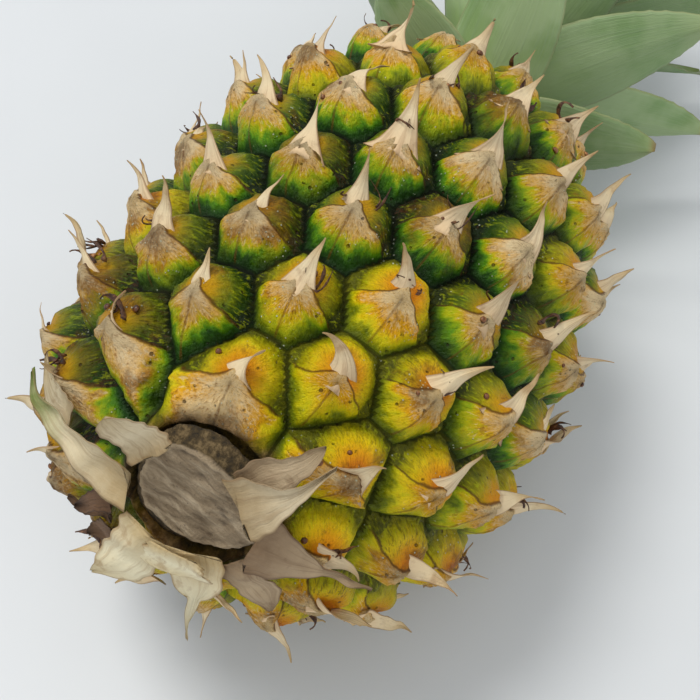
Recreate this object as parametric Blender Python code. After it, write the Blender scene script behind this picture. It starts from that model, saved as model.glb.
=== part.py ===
"""A whole pineapple lying on its side: the fruit, its cut stem, the dry bracts around the stem, and the leafy crown.

Metres, +Z up. The table is z = 0, the fruit's axis runs along +X from the base to the crown, and the origin
is the middle of the small flat spot that the fruit rests on. Run with: blender --background --python part.py
"""
import math

import bmesh
import bpy
import numpy as np
from mathutils import Vector

# Driving dimensions
FRUIT_LENGTH = 0.153
FRUIT_RADIUS = 0.055
BASE_POWER = 3.3  # how square the base half's outline is: 2 is an ellipse
CROWN_POWER = 2.7  # the same for the half below the crown
BASE_LEAN = (0.004, 0.008)  # how far the base end grew to the side and up
REST_DEPTH = 0.0015  # how much of the crests the resting weight has flattened
REST_X = 0.080  # from the base end to the middle of the flat spot
REST_HALF_LENGTH = 0.027
REST_HALF_WIDTH = 0.0135
LEAST_HEIGHT = 0.0006  # everything else stays this clear of the table

# Eyes: 147 fruitlets on one spiral, which makes 9 rows one way and 11 the other
EYE_COUNT = 147
EYE_TURN = math.radians(162.0)
FIRST_EYE_AZIMUTH = math.radians(170.1)
FIRST_EYE_SHARE = 0.98  # in eyes, how far the first one's centre is from the pole
GROOVE_DEPTH = 0.0038
SHOULDER_REACH = 0.66  # how far from an eye's centre to its edge the raised shoulder is
TIP_REACH = 0.20  # the same for the root of the bract's free tip
TIP_RISE = 0.0045
TIP_LENGTH = 0.0095
TIP_CLEAR_STEM = 0.044  # no tips this near the stem, or on the last tenth, where other pieces lie over them
TIP_CLEAR_SHARE = 0.10
TIP_CLEAR_HEIGHT = 0.016

# Cut stem, off the middle of the base, in a shallow recess
STEM_OFFSET = (-0.0085, 0.0255)
STEM_RADIUS = 0.0130
STEM_FLATNESS = 0.76  # the cut is an oval, this much narrower across than along
STEM_TURN = math.radians(25.0)  # and its long way is turned this far up from the side
STEM_RECESS = 0.0042
RECESS_FLOOR_RADIUS = 0.0140
RECESS_RIM_RADIUS = 0.0165
EYE_FREE_RADIUS = 0.0215
RING_STEPS = 12
GAP = 0.0004

# Crown
CROWN_SEAT_RADIUS = 0.0165
CROWN_SEAT_FREE = 0.0235
CROWN_SEAT_DEPTH = 0.0030
CORE_LENGTH = 0.072
CORE_BASE_RADIUS = 0.0125
CORE_TIP_RADIUS = 0.0045
LEAF_COUNT = 36
LOWEST_LEAF = -0.0022  # where the first leaf grows, from the fruit's crown end
LEAF_TURN = math.radians(137.508)
LEAF_STATIONS = 7
LEAF_SHORTEST = 0.034  # the first leaf
LEAF_GROWTH = 0.052  # what the longest leaf has more than the first
LEAF_LONGEST_RANK = 0.5  # how far up the crown the longest leaf grows, from 0 to 1
LEAF_HEART_LOSS = 0.042  # per unit of rank above that
LEAF_WIDTHS = (0.029, 0.015)  # of the first and of the last leaf
LEAF_THICKNESSES = (0.0011, 0.0006)
LEAF_SLOPES = ((80.0, 16.0), (90.0, 30.0))  # degrees off the axis, near it and far out, first and last leaf
LEAF_FREE_RADIUS = 0.010  # a leaf turns from its near slope to its far one beyond this radius
LEAF_FULL_RADIUS = 0.070
LEAF_CLEARANCE = 0.0008  # from the crown's stem to each leaf's root
MOST_WRAP = 0.72  # radians to each side that a leaf reaches round the crown's axis
TABLE_SQUEEZE_FROM = 0.024  # leaves further out than this give way towards the table
TABLE_REACH = 0.090
SQUEEZE_START = 0.004  # over this distance the giving way sets in
STEEPEST_SHARE = 0.2  # leaves that point less far down than this have room for all of their reach

AXIS_HEIGHT = FRUIT_RADIUS - REST_DEPTH


def clear_scene():
    for obj in list(bpy.data.objects):
        bpy.data.objects.remove(obj, do_unlink=True)


def material(name, colour, roughness):
    made = bpy.data.materials.new(name)
    made.use_nodes = True
    shader = made.node_tree.nodes["Principled BSDF"]
    shader.inputs["Base Color"].default_value = (*colour, 1.0)
    shader.inputs["Roughness"].default_value = roughness
    shader.inputs["Metallic"].default_value = 0.0
    return made


def outline_radius(t):
    """Radius of the fruit's crests at t, from 0 at the base to 1 at the crown end."""
    x = 2.0 * np.asarray(t, float) - 1.0
    power = np.where(x < 0.0, BASE_POWER, CROWN_POWER)
    return FRUIT_RADIUS * np.sqrt(np.clip(1.0 - np.abs(x) ** power, 0.0, 1.0))


def station_of_base_radius(radius):
    """The t at which the base half has this radius."""
    share = max(0.0, 1.0 - (radius / FRUIT_RADIUS) ** 2)
    return 0.5 * (1.0 - share ** (1.0 / BASE_POWER))


def body_point(t, azimuth):
    """A point on the crest surface, in fruit coordinates: x from the base end, y and z from the axis."""
    radius = float(outline_radius(t))
    lean = max(0.0, 1.0 - 2.0 * t) ** 2
    y = radius * math.cos(azimuth) + BASE_LEAN[0] * lean
    z = radius * math.sin(azimuth) + BASE_LEAN[1] * lean
    return Vector((t * FRUIT_LENGTH, y, z))


def body_normal(t, azimuth):
    step = 1e-3
    low, high = max(t - step, 0.0), min(t + step, 1.0)
    along = Vector(((high - low) * FRUIT_LENGTH, float(outline_radius(high) - outline_radius(low)), 0.0))
    across = Vector((-along.y, along.x, 0.0)).normalized()
    return Vector((across.x, across.y * math.cos(azimuth), across.y * math.sin(azimuth)))


def meridian_tables():
    """Along the outline: station, share of the surface area, and the stretch that keeps angles true."""
    t = 0.5 * (1.0 - np.cos(np.linspace(0.0, math.pi, 2001)))
    radius = outline_radius(t)
    arc = np.hypot(np.diff(radius), np.diff(t * FRUIT_LENGTH))
    middle = 0.5 * (radius[1:] + radius[:-1])
    area = np.concatenate([[0.0], np.cumsum(middle * arc)])
    stretch = np.concatenate([[0.0], np.cumsum(arc / np.maximum(middle, 1e-4))])
    return t, area / area[-1], stretch - np.interp(0.5, t, stretch)


STATIONS, AREA_SHARE, STRETCH = meridian_tables()


def stem_frame():
    """The stem's centre on the crest surface, the outward normal there, and two directions across it."""
    radius = math.hypot(*STEM_OFFSET)
    azimuth = math.atan2(STEM_OFFSET[1], STEM_OFFSET[0])
    t = station_of_base_radius(radius)
    normal = body_normal(t, azimuth)
    side = Vector((0.0, 1.0, 0.0))
    side = (side - normal * side.dot(normal)).normalized()
    up = side.cross(normal).normalized()
    if up.z < 0.0:
        up = -up
    return body_point(t, azimuth), normal, side, up


STEM_POINT, STEM_NORMAL, STEM_SIDE, STEM_UP = stem_frame()


def site(kind, t, azimuth):
    """One cell of the fruit's surface: what it is, where its centre is, and where that lies on a round map."""
    stretch = float(np.interp(t, STATIONS, STRETCH))
    ring = 1.0 / math.cosh(stretch)
    on_map = (ring * math.cos(azimuth), ring * math.sin(azimuth), math.tanh(stretch))
    return {"kind": kind, "map": on_map, "centre": body_point(t, azimuth), "normal": body_normal(t, azimuth)}


def stem_ring(kind, ring_radius, depth):
    """Sites on a circle around the stem, all in one plane square to the stem."""
    made = []
    for step in range(RING_STEPS):
        angle = 2.0 * math.pi * (step + 0.5) / RING_STEPS
        place = STEM_POINT + ring_radius * (STEM_SIDE * math.cos(angle) + STEM_UP * math.sin(angle))
        y, z = place.y - BASE_LEAN[0], place.z - BASE_LEAN[1]
        t = station_of_base_radius(math.hypot(y, z))
        cell = site(kind, t, math.atan2(z, y))
        if depth > 0.0:
            cell["centre"] = place - STEM_NORMAL * depth
            cell["normal"] = STEM_NORMAL
        made.append(cell)
    return made


def crown_ring(kind, ring_radius, depth):
    made = []
    share = 1.0 - (ring_radius / FRUIT_RADIUS) ** 2
    t = 0.5 * (1.0 + share ** (1.0 / CROWN_POWER))
    for step in range(RING_STEPS):
        azimuth = 2.0 * math.pi * step / RING_STEPS
        cell = site(kind, t, azimuth)
        cell["centre"].x = FRUIT_LENGTH - depth
        cell["normal"] = Vector((1.0, 0.0, 0.0))
        made.append(cell)
    return made


def fruit_sites():
    """Eyes along the spiral, equal in area, then the rings of plain skin at the stem and under the crown."""
    sites = []
    for index in range(EYE_COUNT - 1):
        share = (index + FIRST_EYE_SHARE) / EYE_COUNT
        t = float(np.interp(share, AREA_SHARE, STATIONS))
        azimuth = FIRST_EYE_AZIMUTH + index * EYE_TURN
        eye = site("eye", t, azimuth)
        eye["share"] = share
        at_stem = t < 0.5 and (eye["centre"] - STEM_POINT).length < EYE_FREE_RADIUS
        at_crown = t > 0.5 and float(outline_radius(t)) < CROWN_SEAT_FREE
        if not at_stem and not at_crown:
            sites.append(eye)
    sites += stem_ring("rim", RECESS_RIM_RADIUS, 0.0)
    sites += stem_ring("floor", RECESS_FLOOR_RADIUS, STEM_RECESS)
    y, z = STEM_POINT.y - BASE_LEAN[0], STEM_POINT.z - BASE_LEAN[1]
    middle = site("floor", station_of_base_radius(math.hypot(y, z)), math.atan2(z, y))
    middle["centre"] = STEM_POINT - STEM_NORMAL * STEM_RECESS
    middle["normal"] = STEM_NORMAL
    sites.append(middle)
    sites += crown_ring("seat", CROWN_SEAT_RADIUS, CROWN_SEAT_DEPTH)
    top = site("seat", 0.9999, 0.0)
    top["map"] = (0.0, 0.0, 1.0)
    top["centre"] = Vector((FRUIT_LENGTH - CROWN_SEAT_DEPTH, 0.0, 0.0))
    top["normal"] = Vector((1.0, 0.0, 0.0))
    sites.append(top)
    return sites


def neighbour_triangles(sites):
    """Which three sites meet at each corner: the faces of the convex hull of the sites on a ball."""
    net = bmesh.new()
    for index, cell in enumerate(sites):
        net.verts.new(Vector(cell["map"]).normalized()).index = index
    net.verts.ensure_lookup_table()
    bmesh.ops.convex_hull(net, input=net.verts, use_existing_faces=False)
    bmesh.ops.triangulate(net, faces=net.faces[:])
    triangles = []
    for face in net.faces:
        corners = [vert.index for vert in face.verts]
        middle = face.calc_center_median()
        if face.normal.dot(middle) < 0.0:
            corners.reverse()
        triangles.append(corners)
    net.free()
    return triangles


def settle(point):
    """Moves a point from fruit coordinates to the table: flat on the resting spot, clear of it elsewhere."""
    x, y, z = point.x - REST_X, point.y, point.z + AXIS_HEIGHT
    in_spot = abs(x) < REST_HALF_LENGTH and abs(y) < REST_HALF_WIDTH and z < 0.5 * AXIS_HEIGHT
    return Vector((x, y, 0.0 if in_spot else max(z, LEAST_HEIGHT)))


def fruit_mesh():
    """Every eye is a dome: a groove at its edge, a shoulder, and the root and free tip of its bract."""
    sites = fruit_sites()
    triangles = neighbour_triangles(sites)
    shape = bmesh.new()
    corners = []
    around = [[] for _ in sites]
    for number, triangle in enumerate(triangles):
        cells = [sites[index] for index in triangle]
        eyes = sum(cell["kind"] == "eye" for cell in cells)
        normal = sum((cell["normal"] for cell in cells), Vector()).normalized()
        middle = sum((cell["centre"] for cell in cells), Vector()) / 3.0
        middle -= normal * GROOVE_DEPTH * (eyes / 3.0) * 0.75
        corners.append(shape.verts.new(settle(middle)))
        for place, index in enumerate(triangle):
            around[index].append((triangle[(place + 1) % 3], triangle[(place + 2) % 3], number))
    for cell, fan in zip(sites, around):
        follows = {start: (end, number) for start, end, number in fan}
        ring, start = [], fan[0][0]
        for _ in fan:
            start, number = follows[start]
            ring.append(corners[number])
        centre, normal = cell["centre"], cell["normal"]
        if cell["kind"] != "eye":
            hub = shape.verts.new(settle(centre))
            for first, second in zip(ring, ring[1:] + ring[:1]):
                shape.faces.new((hub, first, second))
            continue
        offset = Vector((REST_X, 0.0, -AXIS_HEIGHT))
        edge = [corner.co + offset for corner in ring]
        shoulder, root = [], []
        for corner in edge:
            out = corner.lerp(centre, 1.0 - SHOULDER_REACH) + normal * 0.0012
            shoulder.append(shape.verts.new(settle(out)))
            root.append(shape.verts.new(settle(centre.lerp(corner, TIP_REACH) + normal * 0.0008)))
        height = centre.z + AXIS_HEIGHT
        free = (centre - STEM_POINT).length > TIP_CLEAR_STEM and cell["share"] < 1.0 - TIP_CLEAR_SHARE
        tipped = free and height > TIP_CLEAR_HEIGHT
        apex = centre.copy()
        if tipped:
            along = Vector((1.0, 0.0, 0.0)) - normal * normal.x
            apex += normal * TIP_RISE + along.normalized() * TIP_LENGTH
        hub = shape.verts.new(settle(apex))
        for here in range(len(ring)):
            there = (here + 1) % len(ring)
            for inner, outer in ((shoulder, ring), (root, shoulder)):
                shape.faces.new((inner[here], outer[here], outer[there]))
                shape.faces.new((inner[here], outer[there], inner[there]))
            shape.faces.new((hub, root[here], root[there]))
    return shape


def add_object(name, shape, finish, smooth=True):
    mesh = bpy.data.meshes.new(name)
    shape.to_mesh(mesh)
    shape.free()
    mesh.materials.append(finish)
    if smooth:
        mesh.shade_smooth()
        mesh.set_sharp_from_angle(angle=math.radians(40.0))
    obj = bpy.data.objects.new(name, mesh)
    bpy.context.scene.collection.objects.link(obj)
    return obj


def add_fruit(finish):
    shape = fruit_mesh()
    bmesh.ops.recalc_face_normals(shape, faces=shape.faces[:])
    add_object("fruit_body", shape, finish, smooth=False)


def ring_solid(shape, rings, closed_tip=None):
    """Skins a stack of vertex rings, with flat ends unless there is a tip."""
    loops = [[shape.verts.new(settle(place)) for place in ring] for ring in rings]
    for lower, upper in zip(loops, loops[1:]):
        for here in range(len(lower)):
            there = (here + 1) % len(lower)
            shape.faces.new((lower[here], lower[there], upper[there], upper[here]))
    shape.faces.new(loops[0][::-1])
    if closed_tip is None:
        shape.faces.new(loops[-1])
    else:
        tip = shape.verts.new(settle(closed_tip))
        for here in range(len(loops[-1])):
            shape.faces.new((loops[-1][here], loops[-1][(here + 1) % len(loops[-1])], tip))
    bmesh.ops.recalc_face_normals(shape, faces=shape.faces[:])


def add_stem(finish):
    """The cut end of the stem: a short oval stub that stands in the recess."""
    shape = bmesh.new()
    long_way = STEM_SIDE * math.cos(STEM_TURN) + STEM_UP * math.sin(STEM_TURN)
    short_way = STEM_UP * math.cos(STEM_TURN) - STEM_SIDE * math.sin(STEM_TURN)
    rings = []
    for height, scale in ((-STEM_RECESS + GAP, 0.94), (-0.0022, 1.0), (-0.0006, 0.90)):
        ring = []
        for step in range(18):
            angle = 2.0 * math.pi * step / 18
            reach = STEM_RADIUS * scale * (1.0 - 0.06 * math.cos(3.0 * angle + 0.6))
            across = long_way * math.cos(angle) + short_way * STEM_FLATNESS * math.sin(angle)
            ring.append(STEM_POINT + across * reach + STEM_NORMAL * height)
        rings.append(ring)
    ring_solid(shape, rings)
    add_object("cut_stem", shape, finish)


# Dry bracts round the stem: direction from the stem in degrees (0 is +Y, 90 is up), how far out it starts,
# length, width, height over the crests, height gained at the tip, cup across the width, and sideways bend, in metres
BASAL_BRACTS = (
    (2, 0.0135, 0.0265, 0.0105, 0.0030, 0.0090, 0.0020, 0.0090),
    (45, 0.0135, 0.0100, 0.0120, 0.0030, 0.0060, 0.0020, 0.0000),
    (-57, 0.0130, 0.0180, 0.0165, 0.0046, 0.0040, 0.0008, 0.0000),
    (-84, 0.0125, 0.0080, 0.0150, 0.0070, 0.0000, 0.0000, 0.0000),
    (-98, 0.0130, 0.0270, 0.0160, 0.0028, 0.0080, 0.0005, 0.0040),
    (138, 0.0140, 0.0130, 0.0080, 0.0016, 0.0010, 0.0000, 0.0000),
    (150, 0.0125, 0.0190, 0.0160, 0.0046, 0.0060, 0.0010, -0.0030),
    (-165, 0.0150, 0.0225, 0.0155, 0.0030, 0.0040, 0.0010, 0.0020),
    (-128, 0.0155, 0.0150, 0.0115, 0.0013, 0.0010, 0.0000, 0.0000),
    (5, 0.0310, 0.0100, 0.0080, 0.0012, 0.0050, 0.0010, 0.0050),
)
BRACT_THICKNESS = 0.0006


def plate_solid(shape, under, over):
    """A thin closed plate between two grids of points, each a list of rows of the same length."""
    low = [[shape.verts.new(place) for place in row] for row in under]
    high = [[shape.verts.new(place) for place in row] for row in over]
    last_row, last_column = len(low) - 1, len(low[0]) - 1
    for row in range(last_row):
        for column in range(last_column):
            for grid in (low, high):
                a, b = grid[row][column], grid[row][column + 1]
                c, d = grid[row + 1][column + 1], grid[row + 1][column]
                shape.faces.new((a, b, c) if grid is high else (a, c, b))
                shape.faces.new((a, c, d) if grid is high else (a, d, c))
    edge = [(0, column) for column in range(last_column)]
    edge += [(row, last_column) for row in range(last_row)]
    edge += [(last_row, column) for column in range(last_column, 0, -1)]
    edge += [(row, 0) for row in range(last_row, 0, -1)]
    for (r0, c0), (r1, c1) in zip(edge, edge[1:] + edge[:1]):
        shape.faces.new((low[r0][c0], low[r1][c1], high[r1][c1]))
        shape.faces.new((low[r0][c0], high[r1][c1], high[r0][c0]))
    bmesh.ops.recalc_face_normals(shape, faces=shape.faces[:])


def over_base(place, height):
    """Slides a place of the stem's plane along the stem until it is this high over the crests of the fruit."""
    inner, outer = -0.030, 0.002
    for _ in range(16):
        middle = 0.5 * (inner + outer)
        spot = place + STEM_NORMAL * middle
        t = max(0.0, spot.x / FRUIT_LENGTH)
        lean = max(0.0, 1.0 - 2.0 * t) ** 2
        reach = math.hypot(spot.y - BASE_LEAN[0] * lean, spot.z - BASE_LEAN[1] * lean)
        if reach < float(outline_radius(t)):
            inner = middle
        else:
            outer = middle
    return place + STEM_NORMAL * (inner + height)


def add_basal_bract(number, finish):
    """A tapering boat-shaped scale that lies over the base of the fruit, its tip lifted off it."""
    heading, start, length, width, level, lift, cup, bend = BASAL_BRACTS[number]
    angle = math.radians(heading)
    out = STEM_SIDE * math.cos(angle) + STEM_UP * math.sin(angle)
    across = STEM_UP * math.cos(angle) - STEM_SIDE * math.sin(angle)
    under, over = [], []
    for along in np.linspace(0.0, 1.0, 6):
        half = 0.5 * width * (0.55 + 0.9 * along) * (1.0 - along) ** 0.6 + 0.0008
        row = []
        for share in (-1.0, -0.5, 0.0, 0.5, 1.0):
            sideways = half * share + bend * along * along
            height = level + lift * along * along + cup * share * share * (1.0 - along)
            row.append(over_base(STEM_POINT + out * (start + length * along) + across * sideways, height))
        under.append([settle(place) for place in row])
        over.append([settle(place + STEM_NORMAL * BRACT_THICKNESS) for place in row])
    shape = bmesh.new()
    plate_solid(shape, under, over)
    add_object("basal_bract_%02d" % (number + 1), shape, finish)


def core_radius(along):
    return CORE_BASE_RADIUS + (CORE_TIP_RADIUS - CORE_BASE_RADIUS) * along ** 0.8


def crown_place(x, radius, azimuth):
    """A point of the crown from its cylinder coordinates; leaves that would pass the table give way to it."""
    below = max(0.0, -math.sin(azimuth))
    room = (AXIS_HEIGHT - 2.0 * LEAST_HEIGHT) / max(below, STEEPEST_SHARE)
    slope = min(1.0, (room - TABLE_SQUEEZE_FROM) / (TABLE_REACH - TABLE_SQUEEZE_FROM))
    past = SQUEEZE_START * math.log1p(math.exp((radius - TABLE_SQUEEZE_FROM) / SQUEEZE_START))
    settled = radius - (1.0 - slope) * past
    place = Vector((FRUIT_LENGTH + x, settled * math.cos(azimuth), settled * math.sin(azimuth)))
    return place - Vector((REST_X, 0.0, -AXIS_HEIGHT))


def add_crown_core(finish):
    """The short stem inside the crown, which every leaf grows from."""
    shape = bmesh.new()
    rings = []
    for along in (0.0, 0.35, 0.7, 1.0):
        x = -CROWN_SEAT_DEPTH + GAP + along * (CORE_LENGTH + CROWN_SEAT_DEPTH)
        radius = core_radius(along)
        turns = [2.0 * math.pi * step / 14 for step in range(14)]
        rings.append([Vector((FRUIT_LENGTH + x, radius * math.cos(a), radius * math.sin(a))) for a in turns])
    ring_solid(shape, rings, Vector((FRUIT_LENGTH + CORE_LENGTH + 0.004, 0.0, 0.0)))
    add_object("crown_core", shape, finish)


def leaf_path(rank, length):
    """Axial place, radius and slope along one leaf. Higher leaves stand steeper, so no two paths cross."""
    x = LOWEST_LEAF + rank * (CORE_LENGTH - 0.006)
    radius = core_radius((x + CROWN_SEAT_DEPTH) / (CORE_LENGTH + CROWN_SEAT_DEPTH)) + LEAF_CLEARANCE
    steeper = rank ** 0.6
    near, far = (math.radians(low + (high - low) * steeper) for low, high in LEAF_SLOPES)
    step = length / (LEAF_STATIONS - 1)
    path = []
    for _ in range(LEAF_STATIONS):
        path.append((x, radius))
        for _ in range(8):
            spread = min(1.0, max(0.0, (radius - LEAF_FREE_RADIUS) / (LEAF_FULL_RADIUS - LEAF_FREE_RADIUS)))
            slope = near + (far - near) * spread
            x += step / 8 * math.cos(slope)
            radius += step / 8 * math.sin(slope)
    return path


def leaf_length(rank):
    """Short at the very bottom of the crown, longest halfway up, and shorter again in the heart."""
    rise = min(1.0, rank / LEAF_LONGEST_RANK)
    return LEAF_SHORTEST + LEAF_GROWTH * rise ** 0.9 - LEAF_HEART_LOSS * max(0.0, rank - LEAF_LONGEST_RANK)


def add_crown_leaf(number, finish):
    rank = number / (LEAF_COUNT - 1)
    azimuth = number * LEAF_TURN + 0.8
    length = leaf_length(rank)
    width = LEAF_WIDTHS[0] + (LEAF_WIDTHS[1] - LEAF_WIDTHS[0]) * rank
    thickness = LEAF_THICKNESSES[0] + (LEAF_THICKNESSES[1] - LEAF_THICKNESSES[0]) * rank
    path = leaf_path(rank, length)
    under, over = [], []
    for station, (x, radius) in enumerate(path):
        along = station / (LEAF_STATIONS - 1)
        half = 0.5 * width * (1.0 - along ** 1.6) ** 0.9 * (0.86 + 0.5 * along) + 0.0006
        turn = min(half / radius, MOST_WRAP)
        next_x, next_radius = path[min(station + 1, LEAF_STATIONS - 1)]
        last_x, last_radius = path[max(station - 1, 0)]
        slope = math.atan2(next_radius - last_radius, next_x - last_x)
        lower, upper = [], []
        for share in (-1.0, -0.5, 0.0, 0.5, 1.0):
            around = azimuth + share * turn
            lower.append(crown_place(x, radius, around))
            upper.append(crown_place(x + thickness / math.sin(slope), radius, around))
        under.append(lower)
        over.append(upper)
    shape = bmesh.new()
    plate_solid(shape, under, over)
    add_object("crown_leaf_%02d" % (number + 1), shape, finish)


def main():
    clear_scene()
    add_fruit(material("fruit_rind", (0.30, 0.34, 0.06), 0.5))
    add_stem(material("cut_stem_pith", (0.42, 0.36, 0.31), 0.9))
    dry = material("dry_bract", (0.66, 0.55, 0.38), 0.75)
    for number in range(len(BASAL_BRACTS)):
        add_basal_bract(number, dry)
    add_crown_core(material("crown_stem", (0.45, 0.52, 0.30), 0.6))
    leaf = material("crown_leaf_green", (0.24, 0.36, 0.26), 0.5)
    for number in range(LEAF_COUNT):
        add_crown_leaf(number, leaf)


main()
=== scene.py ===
# %% [markdown]
# # A whole pineapple, lying on its side
# This lesson dresses a plain solid model of a pineapple in its real surface. The solid already says how big
# the fruit is and where every leaf and bract grows. Here each of them gets its fine shape and its finish. A
# pineapple is a good exercise in *patterned* nature: nearly all of it follows from two spirals, one for the
# eyes of the fruit and one for the leaves of the crown.

# %% load the solid model
import math
from types import SimpleNamespace

import bpy
import numpy as np
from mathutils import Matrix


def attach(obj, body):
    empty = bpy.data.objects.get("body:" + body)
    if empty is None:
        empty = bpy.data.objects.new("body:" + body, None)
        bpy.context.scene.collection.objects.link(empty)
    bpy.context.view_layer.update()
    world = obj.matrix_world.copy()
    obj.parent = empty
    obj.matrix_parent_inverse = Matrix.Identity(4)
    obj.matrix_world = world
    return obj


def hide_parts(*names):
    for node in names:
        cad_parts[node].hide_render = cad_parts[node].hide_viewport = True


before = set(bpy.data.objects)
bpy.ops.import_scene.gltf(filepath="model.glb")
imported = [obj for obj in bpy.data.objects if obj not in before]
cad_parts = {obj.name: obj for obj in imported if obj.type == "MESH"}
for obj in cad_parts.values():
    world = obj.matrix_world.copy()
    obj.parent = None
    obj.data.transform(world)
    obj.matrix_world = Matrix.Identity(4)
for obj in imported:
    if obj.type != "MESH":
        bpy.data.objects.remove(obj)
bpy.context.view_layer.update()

# %% [markdown]
# ## Measures
# Lengths are in metres. The fruit's own axis runs along X from the cut base to the crown, and the table is
# z = 0. The numbers repeat those that the solid was built with, so that the fine skin lies exactly over it.

# %% the fruit's measures
FRUIT_LENGTH = 0.153
FRUIT_RADIUS = 0.055
BASE_POWER = 3.3
CROWN_POWER = 2.7
BASE_LEAN = np.array([0.004, 0.008])
REST_X = 0.080
AXIS_HEIGHT = FRUIT_RADIUS - 0.0015
EYE_COUNT = 147
EYE_TURN = math.radians(162.0)
FIRST_EYE_AZIMUTH = math.radians(170.1)
FIRST_EYE_SHARE = 0.98
STEM_OFFSET = (-0.0085, 0.0255)
EYE_FREE_RADIUS = 0.0215
CROWN_SEAT_FREE = 0.0235
MM = 0.001
print("fruit", FRUIT_LENGTH / MM, "mm long and", 2 * FRUIT_RADIUS / MM, "mm wide")
print(EYE_COUNT, "eyes on the spiral")

# %% [markdown]
# ## Meshes from grids of points
# Almost every piece below is a *tube*: a stack of closed loops of points. A leaf is a very flat tube, a
# bract tip is a short one, and the fruit is a fat one whose ends close to a point. One function turns such
# stacks into a mesh, with whole-array arithmetic, so that even the largest piece takes a moment.

# %% tubes from stacked loops
def tube_faces(rows, columns):
    """Quads between neighbouring loops, and a fan of triangles from each end loop to its own middle point."""
    row, column = np.meshgrid(np.arange(rows - 1), np.arange(columns), indexing="ij")
    after = (column + 1) % columns
    here, there = row * columns, (row + 1) * columns
    quads = np.stack([here + column, here + after, there + after, there + column], -1).reshape(-1, 4)
    step = np.arange(columns)
    first, last = rows * columns, rows * columns + 1
    top = (rows - 1) * columns
    fans = np.concatenate([
        np.stack([np.full(columns, first), (step + 1) % columns, step], -1),
        np.stack([np.full(columns, last), top + step, top + (step + 1) % columns], -1),
    ])
    return quads, fans


def signed_volume(points, quads, fans):
    """Six times the volume inside: positive when the faces look outwards."""
    triangles = np.concatenate([quads[:, [0, 1, 2]], quads[:, [0, 2, 3]], fans])
    a, b, c = (points[triangles[:, k]] for k in range(3))
    return float(np.einsum("ij,ij->i", a, np.cross(b, c)).sum())


def tubes_object(name, loops, marks=None):
    """One mesh from loops shaped (tubes, rows, columns, 3). marks are named values on the same grid."""
    count, rows, columns, _ = loops.shape
    quads, fans = tube_faces(rows, columns)
    body = loops.reshape(count, -1, 3)
    ends = np.stack([loops[:, 0].mean(1), loops[:, -1].mean(1)], 1)
    points = np.concatenate([body, ends], 1)
    if signed_volume(points[0] - points[0].mean(0), quads, fans) < 0.0:
        quads, fans = quads[:, ::-1], fans[:, ::-1]
    each = rows * columns + 2
    shift = np.arange(count)[:, None, None] * each
    quads = (quads[None] + shift).reshape(-1, 4)
    fans = (fans[None] + shift).reshape(-1, 3)
    mesh = bpy.data.meshes.new(name)
    mesh.vertices.add(count * each)
    mesh.vertices.foreach_set("co", points.reshape(-1).astype(np.float32))
    mesh.loops.add(quads.size + fans.size)
    corners = np.concatenate([quads.reshape(-1), fans.reshape(-1)])
    mesh.loops.foreach_set("vertex_index", corners.astype(np.int32))
    mesh.polygons.add(len(quads) + len(fans))
    starts = np.concatenate([np.arange(len(quads)) * 4, quads.size + np.arange(len(fans)) * 3])
    mesh.polygons.foreach_set("loop_start", starts.astype(np.int32))
    mesh.update(calc_edges=True)
    mesh.validate()
    mesh.shade_smooth()
    for label, values in (marks or {}).items():
        values = np.broadcast_to(values, loops.shape).astype(np.float32)
        tips = np.stack([values[:, 0].mean(1), values[:, -1].mean(1)], 1)
        stored = np.concatenate([values.reshape(count, -1, 3), tips], 1)
        mesh.attributes.new(label, "FLOAT_VECTOR", "POINT").data.foreach_set("vector", stored.reshape(-1))
    made = bpy.data.objects.new(name, mesh)
    bpy.context.scene.collection.objects.link(made)
    print(name, "has", len(quads) * 2 + len(fans), "triangles")
    return made


def put_on(piece, finish, slot, *nodes):
    """Gives a piece its material and its place on the model's one body, and hides the solids that it stands
    for.
    """
    piece.data.materials.append(finish)
    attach(piece, "root")
    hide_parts(*nodes)
    return piece

# %% [markdown]
# ## Natural unevenness
# Nothing that grew is exactly regular. A few slow waves with random directions, added up, make a gentle
# lumpiness that is smooth, cheap and the same on every run.

# %% slow waves
def lumps(points, period, seed, waves=9):
    """A smooth random value near -1 to 1 at each point: a sum of sine waves about one period long."""
    dice = np.random.default_rng(seed)
    heading = dice.normal(size=(waves, 3))
    heading /= np.linalg.norm(heading, axis=1, keepdims=True)
    rate = 2.0 * math.pi / (period * dice.uniform(0.6, 1.6, waves))
    phase = dice.uniform(0.0, 2.0 * math.pi, waves)
    total = np.zeros(points.shape[:-1])
    for way, speed, start in zip(heading, rate, phase):
        total += np.sin(points @ way * speed + start)
    return total / math.sqrt(waves)


def ease(value, low, high):
    """0 below low, 1 above high, and a smooth rise between them."""
    share = np.clip((value - low) / (high - low), 0.0, 1.0)
    return share * share * (3.0 - 2.0 * share)


def bump_at(value, width):
    """A smooth hill, 1 where the value is 0, falling away over the width."""
    return np.exp(-(value / width) ** 2)


print("slow waves reach", round(float(np.abs(lumps(np.eye(3), 0.3, 1)).max()), 2), "at three sample places")

# %% [markdown]
# ## The fruit's outline and its eyes
# A pineapple's fruit is a hundred or so berries grown together. Each berry shows as an *eye*, and the eyes
# sit on one long spiral round the fruit. Giving every eye the same share of the surface keeps them equal in
# size from base to crown, as the plant does.

# %% outline, spiral and the way across each eye
def outline_radius(t):
    """Crest radius at t, 0 at the base and 1 at the crown: a barrel, the root of one minus a power of the
    distance from the middle."""
    across = 2.0 * np.asarray(t, float) - 1.0
    power = np.where(across < 0.0, BASE_POWER, CROWN_POWER)
    return FRUIT_RADIUS * np.sqrt(np.clip(1.0 - np.abs(across) ** power, 0.0, 1.0))


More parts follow.
